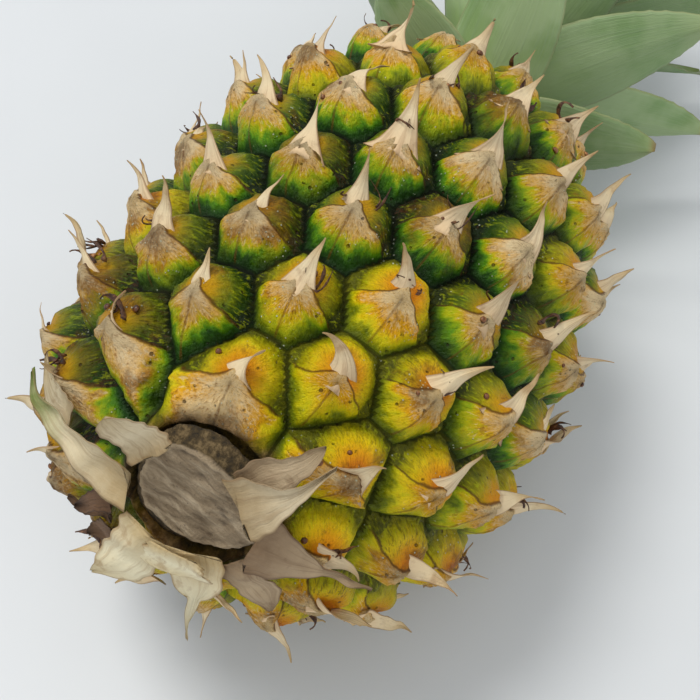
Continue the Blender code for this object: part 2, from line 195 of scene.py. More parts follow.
def crest(t, azimuth):
    """Points and outward normals on the smooth surface through the crests, in the model's coordinates."""
    t, azimuth = np.broadcast_arrays(t, azimuth)
    radius = outline_radius(t)
    lean = np.clip(1.0 - 2.0 * t, 0.0, 1.0) ** 2
    y = radius * np.cos(azimuth) + BASE_LEAN[0] * lean
    z = radius * np.sin(azimuth) + BASE_LEAN[1] * lean
    points = np.stack([t * FRUIT_LENGTH - REST_X, y, z + AXIS_HEIGHT], -1)
    low, high = np.clip(t - 1e-3, 0.0, 1.0), np.clip(t + 1e-3, 0.0, 1.0)
    run, rise = (high - low) * FRUIT_LENGTH, outline_radius(high) - outline_radius(low)
    size = np.hypot(run, rise)
    normals = np.stack([-rise / size, run / size * np.cos(azimuth), run / size * np.sin(azimuth)], -1)
    return points, normals


STATIONS = 0.5 * (1.0 - np.cos(np.linspace(0.0, math.pi, 4001)))
RING = outline_radius(STATIONS)
ARC = np.hypot(np.diff(RING), np.diff(STATIONS * FRUIT_LENGTH))
ALONG = np.concatenate([[0.0], np.cumsum(ARC)])
AREA = np.concatenate([[0.0], np.cumsum(0.5 * (RING[1:] + RING[:-1]) * ARC)])
AREA /= AREA[-1]


def station_of_base_radius(radius):
    return 0.5 * (1.0 - max(0.0, 1.0 - (radius / FRUIT_RADIUS) ** 2) ** (1.0 / BASE_POWER))


stem_t = station_of_base_radius(math.hypot(*STEM_OFFSET))
STEM_POINT, STEM_NORMAL = crest(stem_t, math.atan2(STEM_OFFSET[1], STEM_OFFSET[0]))
STEM_SIDE = np.array([0.0, 1.0, 0.0]) - STEM_NORMAL * STEM_NORMAL[1]
STEM_SIDE /= np.linalg.norm(STEM_SIDE)
STEM_UP = np.cross(STEM_SIDE, STEM_NORMAL)
STEM_UP *= np.sign(STEM_UP[2])

eye_share = (np.arange(EYE_COUNT - 1) + FIRST_EYE_SHARE) / EYE_COUNT
eye_t = np.interp(eye_share, AREA, STATIONS)
eye_azimuth = FIRST_EYE_AZIMUTH + np.arange(EYE_COUNT - 1) * EYE_TURN
eye_centre, eye_normal = crest(eye_t, eye_azimuth)
clear_of_stem = (eye_t > 0.5) | (np.linalg.norm(eye_centre - STEM_POINT, axis=1) > EYE_FREE_RADIUS)
clear_of_crown = (eye_t < 0.5) | (outline_radius(eye_t) > CROWN_SEAT_FREE)
grows = clear_of_stem & clear_of_crown
eye_t, eye_azimuth, eye_share = eye_t[grows], eye_azimuth[grows], eye_share[grows]
eye_centre, eye_normal = eye_centre[grows], eye_normal[grows]
eye_across = np.stack([np.zeros(len(eye_t)), -np.sin(eye_azimuth), np.cos(eye_azimuth)], 1)
eye_along = np.cross(eye_across, eye_normal)
eye_along *= np.sign(eye_along[:, :1] + 1e-9)
dice = np.random.default_rng(20)
eye_seed = dice.uniform(0.0, 1.0, len(eye_t))
print(len(eye_t), "eyes are left between the stem and the crown")

# %% [markdown]
# ## How ripe each eye is
# The rind colours from the base upwards and more on the side that saw the sun, so ripeness is a slow field
# over the fruit with a little luck for each eye.

# %% ripeness of each eye
base_side = ease(eye_share, 0.62, 0.05)
sunny_side = ease(eye_centre[:, 1], 0.012, -0.030)
eye_ripe = 0.34 + 0.62 * base_side * sunny_side + 0.06 * base_side + 0.18 * lumps(eye_centre, 0.05, 5)
eye_ripe = np.clip(eye_ripe + dice.normal(0.0, 0.10, len(eye_t)), 0.0, 1.0)
# Eyes on the +Y side near the base get more tan and brown, and the rind's finish darkens them there as
# painted shade.
shaded_side = ease(eye_centre[:, 1], -0.005, 0.040) * ease(eye_share, 0.75, 0.15)
eye_tan = np.clip(0.30 + 0.18 * shaded_side + dice.normal(0.0, 0.22, len(eye_t)), 0.0, 1.0)
eye_brown = np.clip(0.18 + 0.50 * shaded_side + dice.normal(0.0, 0.25, len(eye_t)), 0.0, 1.0)
print("ripeness from", round(float(eye_ripe.min()), 2), "to", round(float(eye_ripe.max()), 2))

# %% [markdown]
# ## The relief of the rind
# Each eye is a low dome in a six-sided frame of grooves. Its lower half is the fleshy foot of a leaf, the
# bract, which ends in a ledge across the eye and, in the middle, in a dry pointed tip. Above the ledge
# bulge the three sepals of the old flower. So the height at a point needs three things: how far it is from
# the nearest groove, where it is across and along its eye, and how far below the ledge. They are kept on
# the mesh for the finish too.

# %% relief
GROOVE_DEPTH = 2.6 * MM
DOME_DEPTH = 3.4 * MM
DOME_REACH = 8.6 * MM
BUTTON_RADIUS = 8.3 * MM
BUTTON_AHEAD = 1.2 * MM
SKIN_ROWS = 268
SKIN_COLUMNS = 364


def nearest_eyes(points):
    """For each point: its eye, and how far it is from the border with the next eye, in metres."""
    flat = points.reshape(-1, 3)
    mine = np.empty(len(flat), int)
    edge = np.empty(len(flat))
    for start in range(0, len(flat), 8000):
        some = flat[start:start + 8000]
        apart = ((some[:, None] - eye_centre[None]) ** 2).sum(-1)
        order = np.argpartition(apart, 2, axis=1)[:, :2]
        pair = np.take_along_axis(apart, order, 1)
        swap = pair[:, 0] > pair[:, 1]
        order[swap] = order[swap][:, ::-1]
        pair = np.sort(pair, 1)
        between = np.linalg.norm(eye_centre[order[:, 0]] - eye_centre[order[:, 1]], axis=1)
        mine[start:start + 8000] = order[:, 0]
        edge[start:start + 8000] = (pair[:, 1] - pair[:, 0]) / (2.0 * between)
    return mine.reshape(points.shape[:-1]), edge.reshape(points.shape[:-1])


def ledge_line(across, wobble):
    """Where the bract's upper edge runs: a peak in the middle of the eye, and a slow fall to both corners."""
    away = np.abs(across)
    return 3.2 * MM * np.exp(-away / (2.2 * MM)) - 0.8 * MM - 0.20 * away + wobble


def rind_relief(points):
    """Height over the crest surface. It sums the groove, the bract's step and swelling, its midrib, the round
    button of the sepals with its own rim, wrinkles that run out from the tip's root, and slow unevenness."""
    mine, edge = nearest_eyes(points)
    apart = points - eye_centre[mine]
    across = np.einsum("...i,...i->...", apart, eye_across[mine])
    along = np.einsum("...i,...i->...", apart, eye_along[mine])
    seed = eye_seed[mine]
    edge = np.sqrt(edge ** 2 + (0.25 * MM) ** 2)
    height = -GROOVE_DEPTH * np.exp(-edge / (1.9 * MM))
    height -= DOME_DEPTH * (1.0 - np.clip(edge / DOME_REACH, 0.0, 1.0)) ** 1.6
    ledge = ledge_line(across, lumps(points, 0.006, 3) * 0.4 * MM) - along
    inside = ease(edge, 0.6 * MM, 2.6 * MM)
    bract = ease(ledge, -0.35 * MM, 0.35 * MM)
    height += bract * inside * 1.0 * MM * bump_at(np.minimum(along, 0.0), 7.0 * MM)
    height += bract * 1.3 * MM * bump_at(across, 3.6 * MM) * bump_at(along - 0.2 * MM, 4.0 * MM)
    height += 0.8 * MM * bump_at(ledge - 0.9 * MM, 1.1 * MM) * inside
    keel = bump_at(across + 0.4 * MM * np.sin(along / MM * 0.8 + seed * 9.0), 0.60 * MM)
    height += 0.6 * MM * keel * ease(-along, -0.5 * MM, 1.5 * MM) * ease(edge, 0.3 * MM, 2.0 * MM)
    button = np.hypot(across, along - BUTTON_AHEAD)
    round_top = np.sqrt(np.clip(1.0 - (button / BUTTON_RADIUS) ** 2, 0.0, 1.0))
    height += (1.0 - bract) * (1.2 + 0.8 * seed) * MM * round_top * inside
    rim = bump_at(button - BUTTON_RADIUS, 0.9 * MM) * ease(edge, 0.8 * MM, 2.2 * MM)
    height -= (1.0 - bract) * 0.9 * MM * rim
    angle = np.arctan2(along + 1.0 * MM, across)
    seam = bump_at(np.sin(angle * 1.5 + 0.8 * math.pi + seed), 0.14) * ease(along, 1.5 * MM, 3.5 * MM)
    height -= 0.45 * MM * seam * ease(edge, 0.5 * MM, 2.5 * MM)
    wrinkle = np.sin(angle * 13.0 + 8.0 * seed + 2.5 * lumps(points, 0.008, 8))
    off_tip = ease(np.hypot(across, along), 1.5 * MM, 4.0 * MM)
    height += 0.16 * MM * wrinkle * ease(edge, 0.8 * MM, 3.0 * MM) * off_tip
    height += 0.55 * MM * lumps(points, 0.010, 4) + 0.22 * MM * lumps(points, 0.0035, 6)
    place = np.stack([across, along, edge], -1) / MM
    mark = np.stack([ledge / MM, seed, eye_ripe[mine]], -1)
    habit = np.stack([button / MM, eye_tan[mine], eye_brown[mine]], -1)
    return height, place, mark, habit


def settle(points):
    """Nothing goes through the table: what would is pressed flat on it."""
    points = points.copy()
    points[..., 2] = np.maximum(points[..., 2], 0.00015)
    return points


rows_at = np.interp(np.linspace(0.0, ALONG[-1], SKIN_ROWS + 2)[1:-1], ALONG, STATIONS)
turns = np.linspace(0.0, 2.0 * math.pi, SKIN_COLUMNS, endpoint=False)
skin, skin_normal = crest(rows_at[:, None], turns[None, :])
relief, skin_place, skin_mark, skin_habit = rind_relief(skin)
from_stem = skin - STEM_POINT
stem_reach = np.linalg.norm(from_stem - (from_stem @ STEM_NORMAL)[..., None] * STEM_NORMAL, axis=-1)
stem_reach = np.where(skin[..., 0] < 0.0, stem_reach, 1.0)
near_stem = ease(stem_reach, 20.0 * MM, 15.8 * MM)
near_crown = ease(skin[..., 0], FRUIT_LENGTH - REST_X - 6.0 * MM, FRUIT_LENGTH - REST_X - 2.5 * MM)
relief = relief * (1.0 - near_stem) - 0.5 * MM * near_stem * (1.0 + lumps(skin, 0.004, 11))
skin = skin + skin_normal * relief[..., None]
recess = 4.4 * MM * ease(stem_reach, 16.0 * MM, 13.2 * MM)
skin = settle(skin - STEM_NORMAL * recess[..., None])
skin_zone = np.stack([near_stem, near_crown, ease(recess, 0.0, 3.0 * MM)], -1)
print("relief from", round(float(relief.min() / MM), 2), "to", round(float(relief.max() / MM), 2), "mm")

# %% [markdown]
# ## Writing a finish
# A finish here is a small recipe of shader nodes. Most recipes need the same few moves: read a mark from
# the mesh, turn a number into a colour, mix two colours, make noise. Naming those moves keeps each recipe
# readable.

# %% recipe moves
def tint(red, green, blue):
    """A colour as a painter names it, 0 to 255, turned into the linear light that shaders work in."""
    share = np.array([red, green, blue]) / 255.0
    linear = np.where(share <= 0.04045, share / 12.92, ((share + 0.055) / 1.055) ** 2.4)
    return (*map(float, linear), 1.0)


class Recipe:
    """A material under construction, with one method for each kind of step."""

    def __init__(self, name):
        self.material = bpy.data.materials.new(name)
        self.material.use_nodes = True
        self.tree = self.material.node_tree
        self.shader = self.tree.nodes["Principled BSDF"]

    def step(self, kind, settings=(), inputs=(), output=0):
        """Adds a node, sets it up, and connects or fills its inputs. Returns the socket to carry on from."""
        node = self.tree.nodes.new(kind)
        for label, value in dict(settings).items():
            setattr(node, label, value)
        for socket, value in dict(inputs).items():
            self.feed(node.inputs[socket], value)
        return node.outputs[output]

    def feed(self, socket, value):
        if isinstance(value, bpy.types.NodeSocket):
            self.tree.links.new(value, socket)
        else:
            socket.default_value = value

    def mark(self, label):
        """The three numbers stored on the mesh under this name."""
        vector = self.step("ShaderNodeAttribute", {"attribute_name": label}, output=1)
        split = self.tree.nodes.new("ShaderNodeSeparateXYZ")
        self.tree.links.new(vector, split.inputs[0])
        return split.outputs[0], split.outputs[1], split.outputs[2]

    def place(self):
        return self.step("ShaderNodeTexCoord", output=3)

    def math(self, operation, first, second=0.0, clamp=False):
        settings = {"operation": operation, "use_clamp": clamp}
        return self.step("ShaderNodeMath", settings, {0: first, 1: second})

    def times(self, *factors):
        product = factors[0]
        for factor in factors[1:]:
            product = self.math("MULTIPLY", product, factor)
        return product

    def plus(self, first, second, clamp=False):
        return self.math("ADD", first, second, clamp)

    def minus(self, first, second):
        return self.math("SUBTRACT", first, second)

    def swing(self, noise, amount):
        """The noise about zero: its distance from a half, times the amount."""
        return self.times(self.minus(noise, 0.5), amount)

    def vector(self, x, y, z):
        return self.step("ShaderNodeCombineXYZ", (), {0: x, 1: y, 2: z})

    def noise(self, where, scale, detail=3.0, roughness=0.55):
        inputs = {"Vector": where, "Scale": scale, "Detail": detail, "Roughness": roughness}
        return self.step("ShaderNodeTexNoise", (), inputs)

    def cells(self, where, scale):
        """The distance to the nearest of many scattered points."""
        return self.step("ShaderNodeTexVoronoi", (), {"Vector": where, "Scale": scale})

    def between(self, value, low, high):
        """0 at low, 1 at high, and smooth between: the shader's own ease."""
        settings = {"interpolation_type": "SMOOTHSTEP"}
        inputs = {"Value": value, "From Min": low, "From Max": high, "To Min": 0.0, "To Max": 1.0}
        if low > high:
            inputs.update({"From Min": high, "From Max": low, "To Min": 1.0, "To Max": 0.0})
        return self.step("ShaderNodeMapRange", settings, inputs)

    def ramp(self, value, stops):
        """A colour for each value from 0 to 1. A stop is a place and a colour, either ready or as red, green,
        blue."""
        node = self.tree.nodes.new("ShaderNodeValToRGB")
        self.feed(node.inputs[0], value)
        band = node.color_ramp
        while len(band.elements) < len(stops):
            band.elements.new(0.5)
        for element, (place, *colour) in zip(band.elements, stops):
            element.position, element.color = place, colour[0] if len(colour) == 1 else tint(*colour)
        return node.outputs[0]

    def mix(self, share, below, above, blend="MIX"):
        """The first colour, covered by the second as far as share says."""
        node = self.tree.nodes.new("ShaderNodeMix")
        node.data_type, node.blend_type = "RGBA", blend
        self.feed(node.inputs[0], share)
        self.feed(node.inputs[6], below)
        self.feed(node.inputs[7], above)
        return node.outputs[2]

    def strengthen(self, colour, saturation, light):
        inputs = {"Saturation": saturation, "Value": light, "Color": colour}
        return self.step("ShaderNodeHueSaturation", (), inputs)

    def bump(self, height, distance, strength):
        inputs = {"Height": height, "Distance": distance, "Strength": strength}
        return self.step("ShaderNodeBump", (), inputs)

    def finish(self, **inputs):
        for label, value in inputs.items():
            self.feed(self.shader.inputs[label.replace("_", " ")], value)
        return self.material


print("a mid grey of 128 is", round(tint(128, 128, 128)[0], 3), "as linear light")

# %% [markdown]
# ## The rind's colours, step by step
# From groove to crest an eye goes from nearly black green, painted shade over deep green at the bottom of
# the groove, through leaf green and lime, to a chalky tan on the bract or to amber on the sepals. One long
# recipe would be hard to follow, so it is built in steps. The first gathers what the others read: the marks
# stored on the mesh, and noise. Some of the noise reads the direction from the eye's middle instead of the
# place, and so it becomes streaks that run outwards.

# %% what the rind's recipe reads
def rind_fields(make):
    """The marks on the mesh and the noises. rays and fine_rays read the direction from the eye's middle and,
    more slowly, the distance from it. The others read the place."""
    eye = SimpleNamespace()
    eye.across, eye.along, eye.edge = make.mark("place")
    eye.ledge, eye.seed, eye.ripe = make.mark("mark")
    eye.near_stem, eye.near_crown, eye.in_recess = make.mark("zone")
    eye.button, eye.tan, eye.brown = make.mark("habit")
    where = make.place()
    back = make.plus(eye.along, 1.0)
    length = make.math("SQRT", make.plus(make.times(eye.across, eye.across), make.times(back, back)))
    safe = make.plus(length, 0.4)
    out_x, out_y = make.math("DIVIDE", eye.across, safe), make.math("DIVIDE", back, safe)
    depth = make.plus(make.times(length, 0.10), make.times(eye.seed, 37.0))
    eye.rays = make.noise(make.vector(out_x, out_y, depth), 3.6, 4.0, 0.60)
    eye.fine_rays = make.noise(make.vector(out_x, out_y, make.times(depth, 0.6)), 13.0, 4.0, 0.65)
    eye.patches = make.noise(where, 95.0, 4.0, 0.6)
    eye.blotches = make.noise(where, 330.0, 5.0, 0.62)
    eye.grain = make.noise(where, 1500.0, 3.0, 0.6)
    eye.specks, eye.pores = make.cells(where, 760.0), make.cells(where, 330.0)
    eye.shift = make.plus(make.swing(eye.rays, 5.5), make.swing(eye.patches, 4.5))
    eye.ragged = make.plus(eye.ledge, make.swing(eye.blotches, 1.3))
    return eye

# %% [markdown]
# The bract is green at the groove and tan at the crest, and the tan reaches along its upper edge like two
# arms. `level` is how far a point lies from groove to crest, 0 to 1. Two ramps turn it into colour, one for
# an unripe eye and one for a ripe eye, and ripeness blends them.

# %% bract colours
CREST_DISTANCE = 9.0  # millimetres from the groove to where the crest has its full colour
# The first stop of each ramp, nearly black at the bottom of the groove, is painted shade over the deep green.
GREEN_BRACT = (
    (0.00, 10, 26, 0), (0.13, 30, 74, 0), (0.25, 84, 138, 2), (0.37, 158, 176, 14),
    (0.46, 196, 182, 76), (0.58, 216, 178, 112), (0.80, 230, 196, 148), (1.00, 236, 214, 176))
RIPE_BRACT = (
    (0.00, 42, 54, 0), (0.12, 120, 130, 0), (0.26, 204, 194, 6), (0.40, 228, 198, 34),
    (0.60, 226, 172, 84), (0.84, 228, 186, 128), (1.00, 234, 206, 160))
print("tan starts", round(0.46 * CREST_DISTANCE, 1), "mm from the groove on a green eye")


def bract_colour(make, eye, ripeness):
    """Colour by level: the distance from the groove, plus the arms below the ledge, swayed by the noises,
    over the crest's distance. A tanner eye has a larger level everywhere."""
    off_arm = make.math("ABSOLUTE", make.minus(eye.ledge, 1.4))
    arms = make.times(make.between(off_arm, 2.2, 0.4), make.between(eye.edge, 0.4, 2.4),
                      make.plus(make.times(eye.tan, 1.4), 1.6))
    reach = make.plus(make.plus(eye.edge, arms), make.times(eye.shift, make.between(eye.edge, 0.0, 2.5)))
    spread = make.plus(make.times(eye.tan, 0.55), 0.78)
    eye.level = make.math("DIVIDE", make.times(reach, spread), CREST_DISTANCE, clamp=True)
    return make.mix(ripeness, make.ramp(eye.level, GREEN_BRACT), make.ramp(eye.level, RIPE_BRACT))

# %% [markdown]
# Above the ledge lies the round button of the old flower. Its colour goes by the distance from the button's
# middle: amber inside, green outside. Pale hairs and dark streaks cross its rim, and on a scarred eye the
# rim has a reddish brown fringe.

# %% sepal colours
BUTTON_DISTANCE = 8.9  # millimetres from the button's middle to its green rim
# The first stop of each ramp, darkest where the sepals run into the grooves, is painted shade over the green.
GREEN_SEPAL = (
    (0.00, 14, 30, 0), (0.14, 38, 68, 2), (0.30, 90, 110, 10), (0.48, 150, 138, 18),
    (0.66, 206, 160, 34), (0.84, 222, 170, 74), (1.00, 224, 192, 146))
RIPE_SEPAL = (
    (0.00, 96, 96, 0), (0.12, 172, 162, 2), (0.32, 226, 194, 6), (0.56, 234, 166, 12),
    (0.80, 226, 132, 22), (1.00, 226, 174, 114))
print("a ripe button is amber within", round((1.0 - 0.56) * BUTTON_DISTANCE, 1), "mm of its middle")


def sepal_colour(make, eye, ripeness):
    """Colour by the distance left to the button's rim. Hair, dark streaks and fringe follow the fine rays."""
    left = make.minus(make.plus(BUTTON_DISTANCE, make.times(eye.shift, 0.35)), eye.button)
    inner = make.math("DIVIDE", left, BUTTON_DISTANCE, clamp=True)
    sepal = make.mix(ripeness, make.ramp(inner, GREEN_SEPAL), make.ramp(inner, RIPE_SEPAL))
    hair = make.times(make.between(eye.fine_rays, 0.52, 0.64), make.between(eye.button, 3.8, 6.5),
                      make.between(eye.edge, 0.3, 1.2))
    sepal = make.mix(make.times(hair, 0.42), sepal, tint(190, 198, 84))
    dark_hair = make.times(make.between(eye.fine_rays, 0.50, 0.38), make.between(eye.button, 2.5, 6.0))
    darkness = make.plus(make.times(make.between(eye.brown, 0.1, 0.7), 0.50), 0.22)
    dark = make.mix(make.between(eye.brown, 0.35, 0.75), tint(24, 46, 0), tint(88, 44, 18))
    sepal = make.mix(make.times(dark_hair, darkness), sepal, dark)
    off_rim = make.math("ABSOLUTE", make.minus(eye.button, 5.6))
    fringe = make.times(make.between(off_rim, 2.0, 0.5), make.between(eye.brown, 0.45, 0.75),
                        make.between(eye.fine_rays, 0.40, 0.54))
    return make.mix(make.times(fringe, 0.75), sepal, tint(96, 52, 32))

# %% [markdown]
# Age and weather come last, over both parts: brown and pale streaks on the bract, browned patches, a thin
# dark line along the ledge and down the keel, wax dust, scuffs, white crumbs of sap that also serve as
# painted glints, and dark pores.

# %% wear on the rind
def wear_and_glints(make, eye, colour):
    """Each kind of wear is a mask, a noise within limits on the marks, and a colour laid over through it. The
    white crumbs are laid the same way and also serve as painted glints.
    """
    eye.under_tip = make.between(eye.ledge, 0.0, 1.0)
    eye.below = make.times(eye.under_tip, make.between(eye.level, 0.40, 0.8))
    streaks = make.times(make.between(eye.fine_rays, 0.54, 0.66), make.between(eye.level, 0.30, 0.55),
                         eye.under_tip)
    colour = make.mix(make.times(streaks, 0.60), colour, tint(134, 84, 42))
    pale = make.times(make.between(eye.fine_rays, 0.47, 0.36), make.between(eye.level, 0.25, 0.5),
                      eye.under_tip)
    colour = make.mix(make.times(pale, 0.50), colour, tint(238, 222, 188))
    scarred = make.plus(eye.patches, make.times(eye.brown, 0.20))
    browned = make.times(make.between(scarred, 0.60, 0.72), make.between(eye.edge, 1.0, 3.5))
    cork = make.ramp(eye.fine_rays, ((0.36, 60, 34, 20), (0.54, 120, 76, 44), (0.70, 178, 136, 92)))
    colour = make.mix(make.times(browned, 0.62), colour, cork)
    off_line = make.math("ABSOLUTE", eye.ragged)
    line = make.times(make.between(off_line, 0.48, 0.05), make.between(eye.edge, 0.6, 2.0))
    colour = make.mix(make.times(line, 0.80), colour, tint(84, 50, 26))
    off_keel = make.math("ABSOLUTE", eye.across)
    rib = make.times(make.between(off_keel, 0.42, 0.08), make.between(eye.along, 0.0, -1.5),
                     make.between(eye.edge, 0.3, 1.4))
    colour = make.mix(make.times(rib, 0.55), colour, tint(112, 72, 38))
    dust = make.times(make.between(eye.grain, 0.46, 0.62), eye.below)
    colour = make.mix(make.times(dust, 0.34), colour, tint(238, 216, 180))
    scuffs = make.times(make.between(eye.blotches, 0.61, 0.70), make.between(eye.edge, 1.0, 4.0))
    colour = make.mix(make.times(scuffs, 0.50), colour, tint(132, 92, 56))
    # White crumbs of dried sap, which also stand in for tiny glints of light: partly painted glint.
    eye.crumbs = make.times(make.between(eye.specks, 0.19, 0.11), make.between(eye.patches, 0.50, 0.60))
    colour = make.mix(make.times(eye.crumbs, 0.75), colour, tint(222, 228, 206))
    eye.dots = make.times(make.between(eye.pores, 0.16, 0.08), make.between(eye.blotches, 0.48, 0.56))
    return make.mix(make.times(eye.dots, 0.7), colour, tint(54, 34, 16))

# %% [markdown]
# The whole recipe joins the parts along the ledge, lays the wear over them, and gives the skin round the
# stem and under the crown its own fibrous colours. In the recess round the stem the torn fibre is painted
# dark, partly its own brown and partly painted shade. Rays, blotches, grain and crumbs also raise it a
# little, and pores sink.

# %% rind finish
def rind_finish():
    make = Recipe("pineapple_rind")
    eye = rind_fields(make)
    ripeness = make.between(make.plus(eye.ripe, make.swing(eye.patches, 0.6)), 0.25, 0.85)
    bract = bract_colour(make, eye, ripeness)
    sepal = sepal_colour(make, eye, ripeness)
    colour = wear_and_glints(make, eye, make.mix(make.between(eye.ragged, -0.12, 0.12), sepal, bract))
    fibre = make.ramp(eye.blotches, ((0.30, 30, 22, 16), (0.50, 82, 62, 42), (0.70, 140, 116, 88)))
    colour = make.mix(make.times(eye.near_stem, 0.92), colour, fibre)
    # In the recess round the stem: dark torn fibre, darkened further as painted shade of the recess.
    torn = make.ramp(eye.blotches, ((0.34, 26, 22, 10), (0.50, 66, 54, 26), (0.66, 112, 92, 54)))
    colour = make.mix(eye.in_recess, colour, torn)
    colour = make.mix(eye.near_crown, colour, tint(150, 152, 96))
    # Browner eyes are darker, and the +Y side near the base is darkened further as painted shade.
    light = make.minus(1.16, make.times(eye.brown, 0.42))
    colour = make.strengthen(colour, 1.20, light)
    dry = make.plus(make.times(eye.below, 0.30), make.times(eye.near_stem, 0.30))
    rough = make.plus(make.plus(dry, 0.40), make.times(eye.blotches, 0.16))
    height = make.plus(eye.fine_rays, make.times(eye.blotches, 0.9))
    height = make.plus(height, make.plus(make.times(eye.grain, 0.25), make.times(eye.crumbs, 0.4)))
    height = make.minus(height, make.times(eye.dots, 0.8))
    return make.finish(Base_Color=colour, Roughness=rough, Normal=make.bump(height, 0.0012, 0.95),
                       Specular_IOR_Level=0.30)


rind = rind_finish()
print("the rind's recipe has", len(rind.node_tree.nodes), "nodes")
fruit_marks = {"place": skin_place, "mark": skin_mark, "zone": skin_zone, "habit": skin_habit}
fruit_marks = {label: values[None] for label, values in fruit_marks.items()}
fruit_skin = tubes_object("fruit_skin", skin[None], fruit_marks)
put_on(fruit_skin, rind, "rind", "fruit_body")

# %% [markdown]
# ## The free tips of the bracts
# In the middle of each eye the bract goes on as a thin dry blade, wide at its foot and drawn out to a
# needle. It leans towards the crown, and no two have curled alike. All of them together are one array:
# eyes, stations along the blade, and points round its thin section.

# %% bract tips
TIP_STATIONS = 18
TIP_HALF = 6


def flat_section(half_points):
    """Where each point of a thin closed section lies: across from -1 to 1, then back again underneath."""
    over = np.linspace(-1.0, 1.0, 2 * half_points + 1)
    return np.concatenate([over, over[::-1]]), np.concatenate([np.ones(len(over)), -np.ones(len(over))])


def blades(root, ahead, outward, sideways, length, width, lift, curl, bend, twist, fold, thickness,
           stations, half):
    """Thin tapering blades. Each follows a path that starts ahead, leans outward by lift and curls with
    distance, bends sideways, twists about itself, and is folded along its middle. Lengths, widths and the
    rest are one per blade."""
    s = np.linspace(0.0, 1.0, stations)[None, :]
    column = lambda value: np.asarray(value)[:, None]
    pitch = column(lift) + column(curl) * s
    yaw = column(bend) * s ** 1.3
    step = column(length) / (stations - 1)
    forward = np.cos(pitch) * np.cos(yaw)
    offsets = [np.cumsum(step * part, axis=1) - step * part
               for part in (forward, np.sin(pitch), np.cos(pitch) * np.sin(yaw))]
    path = root[:, None] + sum(offset[..., None] * way[:, None] for offset, way in
                               zip(offsets, (ahead, outward, sideways)))
    tangent = sum(part[..., None] * way[:, None] for part, way in
                  zip((forward, np.sin(pitch), np.cos(pitch) * np.sin(yaw)), (ahead, outward, sideways)))
    flat = np.cross(tangent, np.broadcast_to(outward[:, None], tangent.shape))
    flat /= np.linalg.norm(flat, axis=-1, keepdims=True)
    up = np.cross(flat, tangent)
    roll = column(twist) * s ** 1.5
    flat, up = (flat * np.cos(roll)[..., None] + up * np.sin(roll)[..., None],
                up * np.cos(roll)[..., None] - flat * np.sin(roll)[..., None])
    share, side = flat_section(half)
    taper = 0.34 * (1.0 - s) + 0.66 * (1.0 - s) ** 3
    spread = column(width) * 0.5 * taper + 0.00012
    points = path[:, :, None] + flat[:, :, None] * (spread[..., None] * share)[..., None]
    ridge = column(fold) * spread
    shape = ridge[..., None] * np.abs(share) ** 1.4 + side * 0.5 * thickness * (1.0 - 0.5 * s[..., None])
    return points + up[:, :, None] * shape[..., None], s


from_stem_to_eye = np.linalg.norm(eye_centre - STEM_POINT, axis=1)
tipped = np.nonzero((eye_centre[:, 2] > 0.011) & (from_stem_to_eye > 0.0225))[0]
some = len(tipped)
dice = np.random.default_rng(77)
tip_length = dice.uniform(8.5, 13.5, some) * MM
tip_length *= np.where(eye_share[tipped] > 0.93, 0.7, 1.0)
tip_length *= 1.0 - 0.55 * ease(eye_share[tipped], 0.30, 0.12) * ease(eye_centre[tipped, 1], 0.010, 0.030)
tip_root = eye_centre[tipped] + eye_normal[tipped] * 1.45 * MM - eye_along[tipped] * 2.6 * MM
tip_points, tip_s = blades(
    tip_root, eye_along[tipped], eye_normal[tipped], eye_across[tipped], tip_length + 3.0 * MM,
    dice.uniform(10.5, 13.5, some) * MM, dice.uniform(0.10, 0.22, some), dice.normal(0.55, 0.55, some),
    dice.normal(0.0, 0.72, some), dice.normal(0.0, 1.3, some), dice.uniform(-0.65, 0.40, some),
    0.30 * MM, TIP_STATIONS, TIP_HALF)
tip_share, tip_side = flat_section(TIP_HALF)
tip_aside = np.einsum("tijk,tk->tij", tip_points - tip_root[:, None, None], eye_across[tipped])
wing_drop = 2.7 * MM * (1.0 - bump_at(tip_aside, 3.2 * MM)) * (1.0 - ease(tip_s, 0.10, 0.45))[..., None]
tip_shift = 0.45 * MM * lumps(tip_points, 0.005, 31) * tip_s[..., None] - wing_drop
tip_points = tip_points + eye_normal[tipped][:, None, None] * tip_shift[..., None]
tip_seed = eye_seed[tipped][:, None, None]
tip_mark = np.stack(np.broadcast_arrays(tip_s[..., None], tip_share[None, None], tip_seed), -1)
bract_tips = tubes_object("fruit_bract_tips", settle(tip_points), {"blade": tip_mark})

# %% [markdown]
# ## Dry, papery finishes
# Dead bracts are straw to cream, browner at their edges and along their veins, and they scatter light with
# hardly any gloss. One recipe serves all of them: the stored mark says how far along and across the blade a
# point is.

